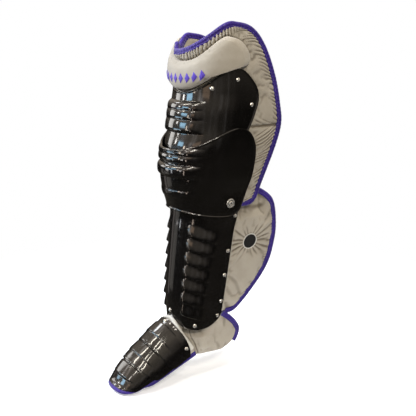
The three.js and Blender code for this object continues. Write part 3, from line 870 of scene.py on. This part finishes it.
for name, sheet, place, around, up, body in (
        ("thigh_shell", thigh_shell_sheet, thigh_shell_place, 180, 150, "pad"),
        ("knee_shell", knee_sheet, knee_place, 180, 150, "knee"),
        ("shin_shell", shin_shell_sheet, shin_shell_place, 160, 240, "pad")):
    guard = wall(name.replace("shell", "guard"),
                 spread([(-1, -0.96, 8), (-0.96, 0.96, around), (0.96, 1, 8)]),
                 spread([(0, 0.04, 8), (0.04, 0.96, up), (0.96, 1, 8)]), sheet,
                 girth_and_height(place), PLASTIC)
    stand_for(soften_edges(guard, RIM["shell"]), body, "plastic", name)

# Shin panel, with puckers round the sewn patch

shin_place = fan(SHIN_PANEL)
PATCH_GIRTH = girth_of(PATCH["y"], PATCH["z"])
PUCKERS = {"count": 19, "rise": 1.1, "reach": 20, "side_reach": 44}


def patch_puckers(reach, turn):
    """Puckers that run out from the sewn patch, longest to its sides."""
    pucker = np.sin(PUCKERS["count"] * turn + 1.6 * wander(21, turn * 3 + 20))
    level = np.abs(np.cos(turn))
    far = PUCKERS["reach"] + PUCKERS["side_reach"] * level
    far = far * (1 + 0.3 * wander(22, turn * 4 + 30))
    window = ease((reach - 17) / 4) * (1 - ease((reach - 4 - 0.55 * far) / (0.6 * far)))
    return PUCKERS["rise"] * pucker * window * (0.2 + 0.024 * reach) * (0.4 + 0.6 * level)


def shin_sheet(u, v, face):
    g, z, s = shin_place(u, v)
    half = SHIN_PAD / 2
    tuck = SHIN_TUCK * ease((z + 114) / 26) * (1 - ease((depth_at(g, z) - 104) / 26))
    full = panel_puff(s, v)
    if face is None:
        return leg_point(g, z, -half - tuck)
    if not face:
        return leg_point(g, z, -half - half * full - tuck)
    right, up = g - PATCH_GIRTH, z - PATCH["z"]
    reach = np.hypot(right, up)
    along, inset = v * shin_place.length, inset_of(g, s)
    edge = scallop(along / 6.2 + wander(23, along / 18)) * (1 - ease(inset / 13))
    slack = 0.9 * wander(24, g / 40, z / 40) + 0.5 * wander(25, g / 17, z / 22)
    slack = slack * ease(inset / 12) * ease((reach - 18) / 10)
    folds = patch_puckers(reach, np.arctan2(up, right)) + 1.3 * edge + slack
    return leg_point(g, z, half * full - half - tuck + free_to_fold(g, z, SHIN_COVER) * folds)


def shin_sewn(u, v):
    g, z, s = shin_place(u, v)
    under_thigh = (z > -92) & (depth_at(g, z) < 106)
    under_patch = np.hypot(g - PATCH_GIRTH, z - PATCH["z"]) < 21
    return (bared(g, z, SHIN_COVER) < 4) | under_thigh | (u < 0) | under_patch


shin_swell = cloth_swell(spread([(-1, 0.5, 16), (0.5, 1, 26)]), np.linspace(0, 1, 79), shin_sheet,
                         shin_sewn, slack=0.03, most=4)
shin_cover = wall("shin_cover", spread([(-1, 0.5, 84), (0.5, 1, 148)]), np.linspace(0, 1, 281),
                  swelled(shin_sheet, shin_swell), girth_and_height(shin_place), CLOTH, 4)
stand_for(shin_cover, "pad", "cloth", "shin_panel")

# Sewn patch on the calf wing and a row of embroidered lozenges on the roll

LOZENGES = {"first": -0.3, "step": 0.094, "count": 8, "half": (0.036, 0.17), "v": 0.41}

# Steps that a normal is measured over: share of a sheet, and millimetres or degrees
NEAR = {"share": 0.004, "reach": 2.0}


def patch_place(a, b, face):
    """Round patch from a square of lines."""
    x, y = a * np.sqrt(1 - b * b / 2), b * np.sqrt(1 - a * a / 2)
    crown = 1 - np.hypot(x, y) ** 6
    g, z = PATCH_GIRTH + PATCH["radius"] * x, PATCH["z"] + PATCH["radius"] * y
    return leg_point(g, z, 0.2 + 0.7 * crown if face else -1.2)


def patch_ring(count, radius, lift):
    turn = np.linspace(0, 2 * math.pi, count, endpoint=False)
    return leg_point(PATCH_GIRTH + radius * np.cos(turn), PATCH["z"] + radius * np.sin(turn), lift)


def raised(sheet, u, v, lift):
    """Place on a sheet's outer face, lifted along its normal."""
    e = NEAR["share"]
    across = sheet(u + e, v, 1) - sheet(u - e, v, 1)
    up = sheet(u, v + e, 1) - sheet(u, v - e, 1)
    return sheet(u, v, 1) + unit(np.cross(across, up)) * np.asarray(lift)[..., None]


def lozenge_place(k):
    wide, tall = LOZENGES["half"]
    centre = LOZENGES["first"] + LOZENGES["step"] * k

    def place(a, b, face):
        crown = 1 - np.maximum(np.abs(a), np.abs(b)) ** 4
        lift = 0.5 + 1.1 * crown if face else np.full_like(a, -0.8)
        u, v = centre + wide * (a + b) / 2, LOZENGES["v"] + tall * (b - a) / 2
        return raised(roll_face, u, v, lift)
    return place


patch_lines = np.linspace(-1, 1, 33)
calf_patch = wall("calf_patch", patch_lines, patch_lines, patch_place,
                  lambda a, b: (a * PATCH["radius"], b * PATCH["radius"]), DARK_TWILL)
stand_for(calf_patch, "pad", "cloth")

lozenge_lines = np.linspace(-1, 1, 19)
for k in range(LOZENGES["count"]):
    lozenge = wall(f"roll_lozenge_{k + 1}", lozenge_lines, lozenge_lines, lozenge_place(k),
                   lambda a, b: (6 * (a + b), 12 * (b - a)), PURPLE_SATIN)
    stand_for(lozenge, "pad", "binding")

# Heel flaps

FLAP_SEAM = {"at": 0.16, "width": 0.018, "depth": 1.6}
flap_front, flap_back = smooth_line(FLAP_FRONT), smooth_line(FLAP_BACK)


def flap_sheet(side):
    """Sheet of the heel flap on one side of the leg."""
    def place(u, v, face):
        yf, zf = flap_front(v)
        yb, zb = flap_back(v)
        z = mix(zf, zb, u)
        g = mix(girth_of(yf, zf), girth_of(yb, zb), u)
        half = FLAP_PAD / 2
        full = puff(np.minimum(0.42 + u / 0.3, (1 - u) / 0.2), pinch(v, 0.16) + 0.2)
        tuck = FLAP_TUCK * (1 - ease((depth_at(g, z) + 60) / 40)) * ease((z + 396) / 20)
        tuck = tuck - FLAP_LAP * ease((v - 0.45) / 0.3) * ease((u - 0.6) / 0.3)
        if face is None:
            swell = 0
        elif face:
            slack = 0.8 * wander(31, g / 16, z / 18) * ease(u / 0.2)
            seam = FLAP_SEAM["depth"] * hump(u - FLAP_SEAM["at"], FLAP_SEAM["width"])
            swell = half * full + slack - seam
        else:
            swell = -half * full
        return leg_point(side * g, z, swell - half - tuck)
    return place


flap_lines = np.linspace(0, 1, 27)
flap_swell = cloth_swell(flap_lines, flap_lines, flap_sheet(1), lambda u, v: u < 0.17,
                         slack=0.03, most=4)
for name, side in (("outer", 1), ("inner", -1)):
    lines = np.linspace(0, 1, 101)
    flap = wall(f"heel_pad_{name}", lines if side > 0 else lines[::-1], lines,
                swelled(flap_sheet(side), flap_swell, (side, 1, 1)),
                lambda u, v: (u * 110, v * 110), CLOTH)
    stand_for(flap, "pad", "cloth", f"heel_flap_{name}")

# Foot panel and plates

HEM = {"share": 0.93, "outer": 5.6, "inner": 3.6}
PLATE_BAND = 2.1


def bow(angle, by):
    return by * np.sqrt(np.clip(1 - (angle / 90) ** 2, 0, 1))


def foot_start(u):
    return FOOT_RUN["from"] + FOOT_RUN["clear"] * scallop(u)


def foot_sheet(u, v, face):
    t = mix(foot_start(u), FOOT_RUN["to"] + bow(90 * u, FOOT_RUN["bow"]), v)
    thick = np.minimum(FOOT_PAD, 0.5 * column(FOOT_T, FOOT_HEIGHT, t))
    depth = 0.5 if face is None else 0 if face else 1
    return foot_point((90 - 10 * ease((v - 0.8) / 0.2)) * u, t, -depth * thick)


def hem_place(a, b, face):
    """Rolled hem over the upper edge, a round strip about the sheet's end."""
    u = HEM["share"] * a
    turn = math.pi * (1.15 * b - 0.2)
    size = HEM["outer"] if face else HEM["inner"]
    return foot_point(90 * u, foot_start(u) + 3.0 - 1.3 * size * np.sin(turn),
                      -FOOT_PAD / 2 + 1.25 * size * np.cos(turn))


def plate_sheet(start, end, reach, lift, bow_start, bow_end, trim):
    """Sheet of a foot plate with a raised band across its middle."""
    def place(u, v, face):
        angle, side = reach * u, np.abs(u)
        rear = trim * (8 * side ** 14 - 3 * ease((side - 0.3) / 0.4))
        t = mix(start + rear + bow(angle, bow_start), end + bow(angle, bow_end), v)
        band = ease((v - 0.19) / 0.05) - ease((v - 0.62) / 0.05)
        band = PLATE_BAND * band * (1 - ease((side - 0.42) / 0.3))
        thick = PLATE + 0.2 * bead(u, v, wide=80, tall=60) if face else 0
        return foot_point(angle, t, SEAT + lift * ease(v / 0.8) + band + thick)
    return place


foot_cover = wall("foot_cover", np.linspace(-1, 1, 81), np.linspace(0, 1, 91)[::-1], foot_sheet,
                  lambda u, v: (90 * u, 180 * v), CLOTH)
stand_for(foot_cover, "pad", "cloth", "foot_panel")

tongue_hem = wall("tongue_hem", np.linspace(-1, 1, 121), np.linspace(0, 1, 21), hem_place,
                  lambda a, b: (95 * a, 14 * b), PALE_LIT_CLOTH)
stand_for(tongue_hem, "pad", "cloth")

for name, sizes in PLATES.items():
    plate = wall(name.replace("plate", "guard"), np.linspace(-1, 1, 121),
                 np.linspace(0, 1, 85)[::-1], plate_sheet(*sizes),
                 lambda u, v: (90 * u, 60 * v), PLASTIC)
    stand_for(soften_edges(plate, RIM["plate"]), "pad", "plastic", name)

# Edge tape: a folded strip whose lip laps over the padding's edge

TAPE_PROFILE = [(-3.6, 3.8), (-3.2, 5.1), (-1.4, 5.7), (0.2, 5.4), (1.0, 4.7), (2.0, 5.0),
                (4.4, 5.6), (6.6, 5.4), (8.6, 4.5), (10.0, 3.0), (10.6, 1.1)]
STITCH_LINE = (1.0, 4.95)
TAPE_STEP = 1.5


def even(points, gap, closed):
    """Points along a line, evenly spaced."""
    line = np.concatenate([points, points[:1]]) if closed else points
    length = np.concatenate([[0], np.cumsum(np.linalg.norm(np.diff(line[:, :3], axis=0), axis=1))])
    count = int(length[-1] / gap)
    where = np.linspace(0, length[-1], count, endpoint=not closed)
    return np.stack([np.interp(where, length, line[:, k]) for k in range(line.shape[1])], 1)


def relax(values, closed, rounds=3):
    for turn in range(rounds):
        ends = values[[0, -1]].copy()
        values = (np.roll(values, 1, 0) + 2 * values + np.roll(values, -1, 0)) / 4
        if not closed:
            values[[0, -1]] = ends
    return values


def tape_frame(sheet, places, closed, turn):
    """Places along a sheet's edge, with the ways outward and up from the edge."""
    u, v = np.array(places, float).T
    at = sheet(u, v, None)
    across = unit(sheet(u, v, 1) - sheet(u, v, 0))
    both = relax(even(np.concatenate([at, across], 1), TAPE_STEP, closed), closed)
    at, across = both[:, :3], unit(relax(both[:, 3:], closed, 8))
    if closed:
        along = unit(np.roll(at, -1, 0) - np.roll(at, 1, 0))
    else:
        along = unit(np.gradient(at, axis=0))
    out = unit(np.cross(along, across)) * turn
    return at, out, np.cross(along, out)


def edge_tape(name, sheet, places, closed, turn, seed):
    """Tape along a sheet's edge, and the two lines of its stitches."""
    at, out, up = tape_frame(sheet, places, closed, turn)
    profile = np.array(TAPE_PROFILE)
    ring = np.concatenate([profile, profile[::-1] * (1, -1)])
    n, m = len(at), len(ring)
    far = np.arange(n) * TAPE_STEP
    ripple = np.sin(math.pi * (far[:, None] + 0.5 * ring[:, 0]) / 4.2)
    wave = 1 + 0.06 * wander(seed, far / 7)[:, None] + 0.07 * ripple
    reach = ring[:, 0] + 0.35 * wander(seed + 1, far / 9)[:, None] * (ring[:, 0] < 0)
    tall = ring[:, 1] * wave
    points = at[:, None] + out[:, None] * reach[..., None] + up[:, None] * tall[..., None]
    index = np.arange(n * m).reshape(n, m)
    index = np.concatenate([index, index[:, :1]], 1)
    if closed:
        index = np.concatenate([index, index[:1]])
    faces = grid_faces(index)
    faces = (faces if turn > 0 else faces[:, ::-1]).tolist()
    if not closed:
        first, last = list(range(m)), list(range((n - 1) * m, n * m))
        faces += [first, last[::-1]] if turn > 0 else [first[::-1], last]
    girth = np.concatenate([[0], np.cumsum(np.linalg.norm(np.diff(ring, axis=0), axis=1))])
    flat = np.stack([np.broadcast_to(girth, (n, m)), np.broadcast_to(far[:, None], (n, m))], -1)
    piece = new_piece(name, points.reshape(-1, 3), faces, flat.reshape(-1, 2), TAPE)
    side, high = STITCH_LINE
    return piece, [(at + out * side + up * high * k, closed) for k in (1, -1)]


def up_side(u, vs):
    return [(u, v) for v in vs]


def across_end(us, v):
    return [(u, v) for u in us]


fine = np.linspace(0, 1, 400)
to_outer = 2 * fine - 1
thigh_loop = (up_side(1, fine[:-1]) + across_end((1 - 2 * fine)[:-1], 1)
              + up_side(-1, fine[::-1][:-1]) + across_end(to_outer[:-1], 0))
foot_run = up_side(-1, fine[:-1]) + across_end(to_outer[:-1], 1) + up_side(1, fine[::-1])
heel_run = up_side(1, mix(2 / 8, 1, fine))
calf_run_outer = up_side(1, mix(2.4 / 18, 17 / 18, fine))
calf_run_inner = up_side(-1, mix(4 / 18, 17 / 18, fine))
tape_seams = []
for name, sheet, places, closed, turn, seed in (
        ("thigh_tape", thigh_sheet, thigh_loop, True, 1, 41),
        ("calf_tape_outer", shin_sheet, calf_run_outer, False, 1, 43),
        ("calf_tape_inner", shin_sheet, calf_run_inner, False, -1, 45),
        ("heel_tape_outer", flap_sheet(1), heel_run, False, 1, 47),
        ("heel_tape_inner", flap_sheet(-1), heel_run, False, -1, 49),
        ("foot_tape", foot_sheet, foot_run, False, 1, 51)):
    tape, rows = edge_tape(name, sheet, places, closed, turn, seed)
    stand_for(tape, "pad", "binding", name.replace("tape", "binding"))
    tape_seams += rows

# Geometry Nodes: stitches along seams, rivet heads on the shells


def tree_with(name, inputs):
    """Tree with a geometry input and output and further named inputs."""
    made = bpy.data.node_groups.new(name, "GeometryNodeTree")
    sockets = made.interface
    sockets.new_socket("Geometry", in_out="INPUT", socket_type="NodeSocketGeometry")
    for label, (kind, value) in inputs.items():
        socket = sockets.new_socket(label, in_out="INPUT", socket_type=f"NodeSocket{kind}")
        if value is not None:
            socket.default_value = value
    sockets.new_socket("Geometry", in_out="OUTPUT", socket_type="NodeSocketGeometry")
    tree = Tree(made)
    return made, tree, tree.add("NodeGroupInput").outputs


def set_out(tree, points, shape, way, finish):
    """Sets a shape on points with its Z along a way, as one smooth painted mesh."""
    turn = tree.add("FunctionNodeAlignRotationToVector", {"Vector": way}, axis="Z").outputs[0]
    inputs = {"Points": points, "Instance": shape, "Rotation": turn}
    placed = tree.add("GeometryNodeInstanceOnPoints", inputs).outputs[0]
    real = tree.add("GeometryNodeRealizeInstances", {0: placed}).outputs[0]
    smooth = tree.add("GeometryNodeSetShadeSmooth", {0: real}).outputs[0]
    paint = tree.add("GeometryNodeSetMaterial", {0: smooth, "Material": finish}).outputs[0]
    tree.add("NodeGroupOutput", {0: paint})


def stitch_tree():
    made, tree, given = tree_with("stitch_row", {
        "Spacing": ("Float", 0.004), "Length": ("Float", 0.0028), "Thickness": ("Float", 0.0008),
        "Finish": ("Material", None)})
    curve = tree.add("GeometryNodeMeshToCurve", {0: given["Geometry"]}).outputs[0]
    inputs = {"Curve": curve, "Length": given["Spacing"]}
    row = tree.add("GeometryNodeResampleCurve", inputs, mode="LENGTH").outputs[0]
    inputs = {"Segments": 6, "Rings": 4, "Radius": 0.5}
    ball = tree.add("GeometryNodeMeshUVSphere", inputs).outputs["Mesh"]
    inputs = {"X": given["Thickness"], "Y": given["Thickness"], "Z": given["Length"]}
    size = tree.add("ShaderNodeCombineXYZ", inputs).outputs[0]
    grain = tree.add("GeometryNodeTransform", {"Geometry": ball, "Scale": size}).outputs[0]
    set_out(tree, row, grain, tree.add("GeometryNodeInputTangent").outputs[0], given["Finish"])
    return made


def rivet_tree():
    made, tree, given = tree_with("rivet_heads", {
        "Head": ("Object", None), "Finish": ("Material", None)})
    shape = tree.add("GeometryNodeObjectInfo", {0: given["Head"]}).outputs["Geometry"]
    way = tree.add("GeometryNodeInputNamedAttribute", {"Name": "out"}, data_type="FLOAT_VECTOR")
    set_out(tree, given["Geometry"], shape, way.outputs["Attribute"], given["Finish"])
    return made


def run_tree(piece, tree, **values):
    """Sets the tree's inputs by identifier, then keeps what it makes as a plain mesh."""
    modifier = piece.modifiers.new("made", "NODES")
    modifier.node_group = tree
    for item in tree.interface.items_tree:
        if item.in_out == "INPUT" and item.name in values:
            modifier[item.identifier] = values[item.name]
    return settle(piece)


def line_piece(name, lines):
    """Mesh of bare edges along lines of (points, closed)."""
    points, edges = [], []
    for line, closed in lines:
        base, n = len(points), len(line)
        points += (np.asarray(line) / 1000).tolist()
        edges += [(base + k, base + (k + 1) % n) for k in range(n if closed else n - 1)]
    mesh = bpy.data.meshes.new(name)
    mesh.from_pydata(points, edges, [])
    return in_scene(name, mesh)


STITCHES = stitch_tree()

# Spacing, length and thickness of the stitches in metres
TAPE_STITCH = (0.0042, 0.003, 0.0009)
PATCH_STITCH = (0.0021, 0.0022, 0.0012)
SEAM_STITCH = (0.0034, 0.0024, 0.0007)
PATCH_ROWS = (17.2, 18.0, 18.8)
WING_SEAM = {"from": 0.66, "to": 0.985, "aside": 2.4, "count": 60, "lift": 0.1}


def stitch(name, lines, finish, slot, spacing, length, thick):
    """Rows of stitches along lines."""
    piece = run_tree(line_piece(name, lines), STITCHES, Spacing=spacing, Length=length,
                     Thickness=thick, Finish=finish)
    return stand_for(piece, "pad", slot)


stitch("tape_stitches", tape_seams, PURPLE_THREAD, "binding", *TAPE_STITCH)
stitch("patch_edge", [(patch_ring(130, radius, 0.7), True) for radius in PATCH_ROWS],
       PALE_THREAD, "cloth", *PATCH_STITCH)

wing_seams = []
for side in (1, -1):
    us = side * np.linspace(WING_SEAM["from"], WING_SEAM["to"], WING_SEAM["count"])
    for step in (-WING_SEAM["aside"], WING_SEAM["aside"]):
        seam_v = np.interp(SEAM_Z + step, thigh_place(np.full(400, 0.85), fine)[1], fine)
        row = raised(thigh_face, us, np.full_like(us, seam_v), np.full_like(us, WING_SEAM["lift"]))
        wing_seams.append((row, False))
stitch("wing_seam_stitches", wing_seams, GREY_THREAD, "cloth", *SEAM_STITCH)

# Rivets and pivots, turned from rows of radius and height

HEAD_ROWS = [(3.0, -0.3), (4.7, -0.3), (4.8, 0.25), (4.5, 0.8), (3.9, 1.5), (2.9, 2.1), (1.7, 2.5),
             (1.3, 2.45), (1.0, 2.0), (0.4, 1.9)]
HEAD_LIFT = 0.5
SHANK_ROWS = [(3.6, 1), (4, 1.2)]
CAP_ROWS = [(4, 0), (PIVOT["washer"], 0), (PIVOT["washer"], 0.7), (10.2, 1.2), (7.0, 1.5),
            (6.6, 0.5), (6.0, 0.5), (5.8, 2.0), (5.2, 2.8), (3.4, 3.2), (2.2, 3.2), (1.9, 2.2),
            (0.6, 2.1)]
# Face rows of the pivot cap painted black plastic: painted shade in its groove and centre hole
CAP_SHADE_ROWS = (6, 7, 8, 12, 13)


def lathe(name, rows, count, finish, dark=()):
    """Turned piece about Z from (radius, height) rows, with some rows of faces painted black plastic as
    shade.
    """
    turn = np.linspace(0, 2 * math.pi, count, endpoint=False)
    radius, height = np.array(rows, float).T
    rings = np.stack([radius[:, None] * np.cos(turn), radius[:, None] * np.sin(turn),
                      np.broadcast_to(height[:, None], (len(rows), count))], -1)
    index = np.arange(len(rows) * count).reshape(len(rows), count)
    faces = grid_faces(np.concatenate([index, index[:, :1]], 1)).tolist()
    faces += [index[0][::-1].tolist(), index[-1].tolist()]
    piece = new_piece(name, rings.reshape(-1, 3), faces, None, finish)
    piece.data.materials.append(PLASTIC)
    for row in dark:
        for polygon in piece.data.polygons[row * count:(row + 1) * count]:
            polygon.material_index = 1
    return piece


def outward(surface, a, b):
    e = NEAR["reach"]
    across = surface(a + e, b) - surface(a - e, b)
    up = surface(a, b + e) - surface(a, b - e)
    return unit(np.cross(across, up))


def on_shell(g, z):
    return leg_point(g, z, SEAT + SHELL)


def on_plate(angle, up):
    return foot_point(angle, -up, SEAT + PLATE)


spots = []
for side in (1, -1):
    spots += [(on_shell, side * float(girth_of(y, z)), z) for y, z in THIGH_RIVETS + SHIN_RIVETS]
    spots.append((on_plate, side * FOOT_RIVET["angle"], -FOOT_RIVET["t"]))
spots += [(on_shell, 0, SHIN_FRONT_RIVET), (on_plate, 0, -FOOT_RIVET["t"])]
seats = np.array([surface(a, b) for surface, a, b in spots])
ways = np.array([outward(*spot) for spot in spots])
head = lathe("rivet_pattern", HEAD_ROWS, 20, NICKEL)
heads = line_piece("rivet_heads", [(seats + ways * HEAD_LIFT, False)])
heads.data.attributes.new("out", "FLOAT_VECTOR", "POINT").data.foreach_set(
    "vector", ways.astype(np.float32).ravel())
run_tree(heads, rivet_tree(), Head=head, Finish=NICKEL)
bpy.data.objects.remove(head)
stand_for(heads, "pad", "rivet", *[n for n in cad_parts
                                    if "rivet" in n and not n.startswith("pivot")])

shank_seat = float(leg_point(girth_of(PIVOT["y"], PIVOT["z"]), PIVOT["z"], 0)[0])
washer_seat = shank_seat + float(knee_stand(90)) + SHELL + PIVOT["gap"]
pivot_rows = ([(radius, shank_seat + height) for radius, height in SHANK_ROWS]
              + [(radius, washer_seat + height) for radius, height in CAP_ROWS])
for name, side in (("outer", 1), ("inner", -1)):
    pivot = lathe(f"knee_pivot_{name}", pivot_rows, 32, NICKEL, CAP_SHADE_ROWS)
    pivot.data.transform(Matrix.Translation((0, PIVOT["y"] / 1000, PIVOT["z"] / 1000))
                         @ Matrix.Rotation(side * math.pi / 2, 4, "Y"))
    stand_for(pivot, "pad", "rivet", f"pivot_rivet_{name}")

# Stage, in metres but for the half width of the floor, which is in millimetres

FLOOR = {"half": 1600, "y": -0.06, "gap": 0.004, "fade": (0.62, 1.2)}
ROOM_GREY = (0.23, 0.23, 0.235, 1)
ROOM_LEAST = 0.012
CEILING = (0.9, 0.77, 0.62)
GROUND = (0.05, 0.044, 0.034)

# Lamps for the cloth: azimuth from the front, height, distance, size, power, colour
LAMPS = {
    "key": (-32, 1.7, 1.9, (1.0, 1.0), 92, (0.94, 1.01, 1.14)),
    "over": (150, 2.2, 0.7, (0.6, 0.6), 34, (1.0, 0.98, 0.95)),
    "side": (76, 1.6, 2.0, (0.6, 0.6), 35, (1.0, 0.92, 0.79)),
}

# Windows that only the gloss shows: azimuth, height, size, power, colour
WINDOW_FAR = 2.7
WINDOWS = [
    (-64, 0.5, (0.8, 0.9), 9, (1.0, 0.98, 0.95)),
    (-25, 0.62, (0.75, 0.42), 9, (0.42, 0.74, 1.0)),
    (-43, 0.66, (0.16, 0.32), 3, (1.0, 0.98, 0.95)),
    (-40, -0.05, (1.0, 0.34), 5.5, (0.5, 0.78, 1.0)),
    (-3, -0.05, (0.4, 0.3), 3.4, (1.0, 0.95, 0.9)),
    (20, 0.6, (0.9, 0.3), 1.3, (1.0, 0.68, 0.46)),
    (-45, -0.3, (0.45, 0.2), 1.3, (1.0, 0.94, 0.92)),
    (-30, -0.34, (0.12, 0.3), 0.9, (0.95, 0.97, 1.0)),
    (-48, -0.75, (0.9, 0.6), 0.8, (1.0, 0.94, 0.86)),
    (-12, 0.25, (0.16, 0.5), 4, (1.0, 0.85, 0.7)),
    (8, 1.6, (0.3, 0.3), 6, (1.0, 0.95, 0.88)),
    (14, -0.35, (0.12, 0.7), 2.4, (1.0, 0.82, 0.68)),
    (28, 2.1, (0.5, 0.25), 7, (1.0, 0.96, 0.9)),
    (-75, 1.9, (0.5, 0.4), 8, (0.95, 0.97, 1.0)),
    (-66, -0.8, (0.5, 0.8), 0.5, (1.0, 0.9, 0.84)),
]

# Ceiling strips that only the gloss shows: azimuth, height, distance, and size, power, colour of each
STRIPS = [(20, 2.0, 1.9), (-37, 1.9, 2.0), (48, 1.75, 2.1)]
STRIP = ((0.15, 1.3), 20, (1.0, 0.93, 0.8))

# Camera: lens and sensor in millimetres, and the aim off its level axis as slopes
CAMERA = {"lens": 56.25, "sensor": 36, "azimuth": 55, "far": 1.5, "height": 0.291,
          "down": 168 / 650, "right": -3 / 650}


def pale_floor():
    made, tree = material("pale_floor")
    where = tree.add("ShaderNodeTexCoord").outputs["Object"]
    white = ramp(tree, noise(tree, where, 2), [(0.3, (0.9, 0.9, 0.9)), (0.7, (0.94, 0.94, 0.94))])
    away = tree.add("ShaderNodeVectorMath", {0: where}, operation="LENGTH").outputs["Value"]
    return coat(made, tree, Roughness=0.9, Specular_IOR_Level=0.1, Emission_Color=(1, 1, 1, 1),
                Emission_Strength=0.4, Base_Color=white, Alpha=span(tree, away, *FLOOR["fade"], 1.0, 0.0))


corners = [(x * FLOOR["half"], y * FLOOR["half"], 0) for x, y in ((-1, -1), (1, -1), (1, 1), (-1, 1))]
floor = new_piece("floor", corners, [(0, 1, 2, 3)], None, pale_floor())
floor.data.transform(Matrix.Translation((0, FLOOR["y"], cad_low.z - FLOOR["gap"])))
floor.visible_glossy = False

# The room is white to the camera, soft to cloth, and dark with a few bright windows to the gloss

world = bpy.data.worlds.new("studio")
bpy.context.scene.world = world
world.use_nodes = True
room = Tree(world.node_tree)
rays = room.add("ShaderNodeLightPath").outputs
look_way = room.add("ShaderNodeTexCoord").outputs["Generated"]


def facing(direction, low, high, most):
    """Share of the room that lies towards a direction."""
    dot = room.add("ShaderNodeVectorMath", {0: look_way, 1: direction}, operation="DOT_PRODUCT")
    return span(room, dot.outputs["Value"], low, high, ROOM_LEAST, most)


def tinted(share, tint, base):
    """Base colour with a share of a tint added."""
    inputs = {0: share, 1: tint, 2: base}
    return room.add("ShaderNodeVectorMath", inputs, operation="MULTIPLY_ADD").outputs[0]


clutter = ramp(room, noise(room, look_way, 3.2, 5, 0.62),
               [(0.38, (0.02, 0.018, 0.016)), (0.5, (0.3, 0.26, 0.23)),
                (0.6, (1.3, 1.15, 1.05)), (0.68, (4.5, 4.4, 4.4))])
lit = room.add("ShaderNodeMath", {0: facing((-0.35, -0.76, 0.55), 0.74, 0.95, 1.0),
                                  1: facing((0.82, -0.35, 0.46), 0.6, 0.95, 0.12)}, operation="MAXIMUM")
shelves = room.add("ShaderNodeVectorMath", {0: clutter, "Scale": lit.outputs[0]}, operation="SCALE")
under_ceiling = tinted(facing((0, 0, 1), -0.06, 0.62, 1.0), CEILING, shelves.outputs[0])
reflected = tinted(facing((0, 0, -1), 0.2, 0.42, 1.0), GROUND, under_ceiling)
soft = blend(room, "MIX", rays["Is Glossy Ray"], ROOM_GREY, reflected)
seen = blend(room, "MIX", rays["Is Camera Ray"], soft, (1, 1, 1, 1))
room.set(room.nodes["Background"], "Color", seen)


def room_light(name, azimuth, height, far, size, power, colour, shiny):
    """Area light at an azimuth from the front, for the gloss alone or for all but the gloss."""
    light = bpy.data.lights.new(name, "AREA")
    light.shape = "RECTANGLE"
    light.size, light.size_y = size
    light.energy = power
    light.color = colour
    lamp = in_scene(name, light)
    turn = math.radians(azimuth)
    lamp.location = (far * math.sin(turn), -far * math.cos(turn), height)
    lamp.rotation_mode = "QUATERNION"
    aim = Vector((0, 0, min(height, 0.2))) - lamp.location
    lamp.rotation_quaternion = aim.to_track_quat("-Z", "Y")
    lamp.visible_glossy = shiny
    lamp.visible_diffuse = not shiny


for name, row in LAMPS.items():
    room_light(name, *row, shiny=False)
for k, (azimuth, height, *rest) in enumerate(WINDOWS):
    room_light(f"window_{k + 1}", azimuth, height, WINDOW_FAR, *rest, shiny=True)
for k, row in enumerate(STRIPS):
    room_light(f"strip_{k + 1}", *row, *STRIP, shiny=True)

camera = bpy.data.cameras.new("camera")
camera.lens = CAMERA["lens"]
camera.sensor_width = CAMERA["sensor"]
eye = in_scene("camera", camera)
turn, pitch, yaw = math.radians(CAMERA["azimuth"]), math.atan(CAMERA["down"]), math.atan(CAMERA["right"])
back = Vector((math.sin(turn), -math.cos(turn), 0))
right = Vector((math.cos(turn), math.sin(turn), 0))
look = -back * math.cos(yaw) - right * math.sin(yaw)
look = look * math.cos(pitch) - Vector((0, 0, math.sin(pitch)))
eye.location = back * CAMERA["far"] + Vector((0, 0, CAMERA["height"]))
eye.rotation_mode = "QUATERNION"
eye.rotation_quaternion = look.to_track_quat("-Z", "Y")
bpy.context.scene.camera = eye
bpy.context.scene.view_settings.view_transform = "Standard"
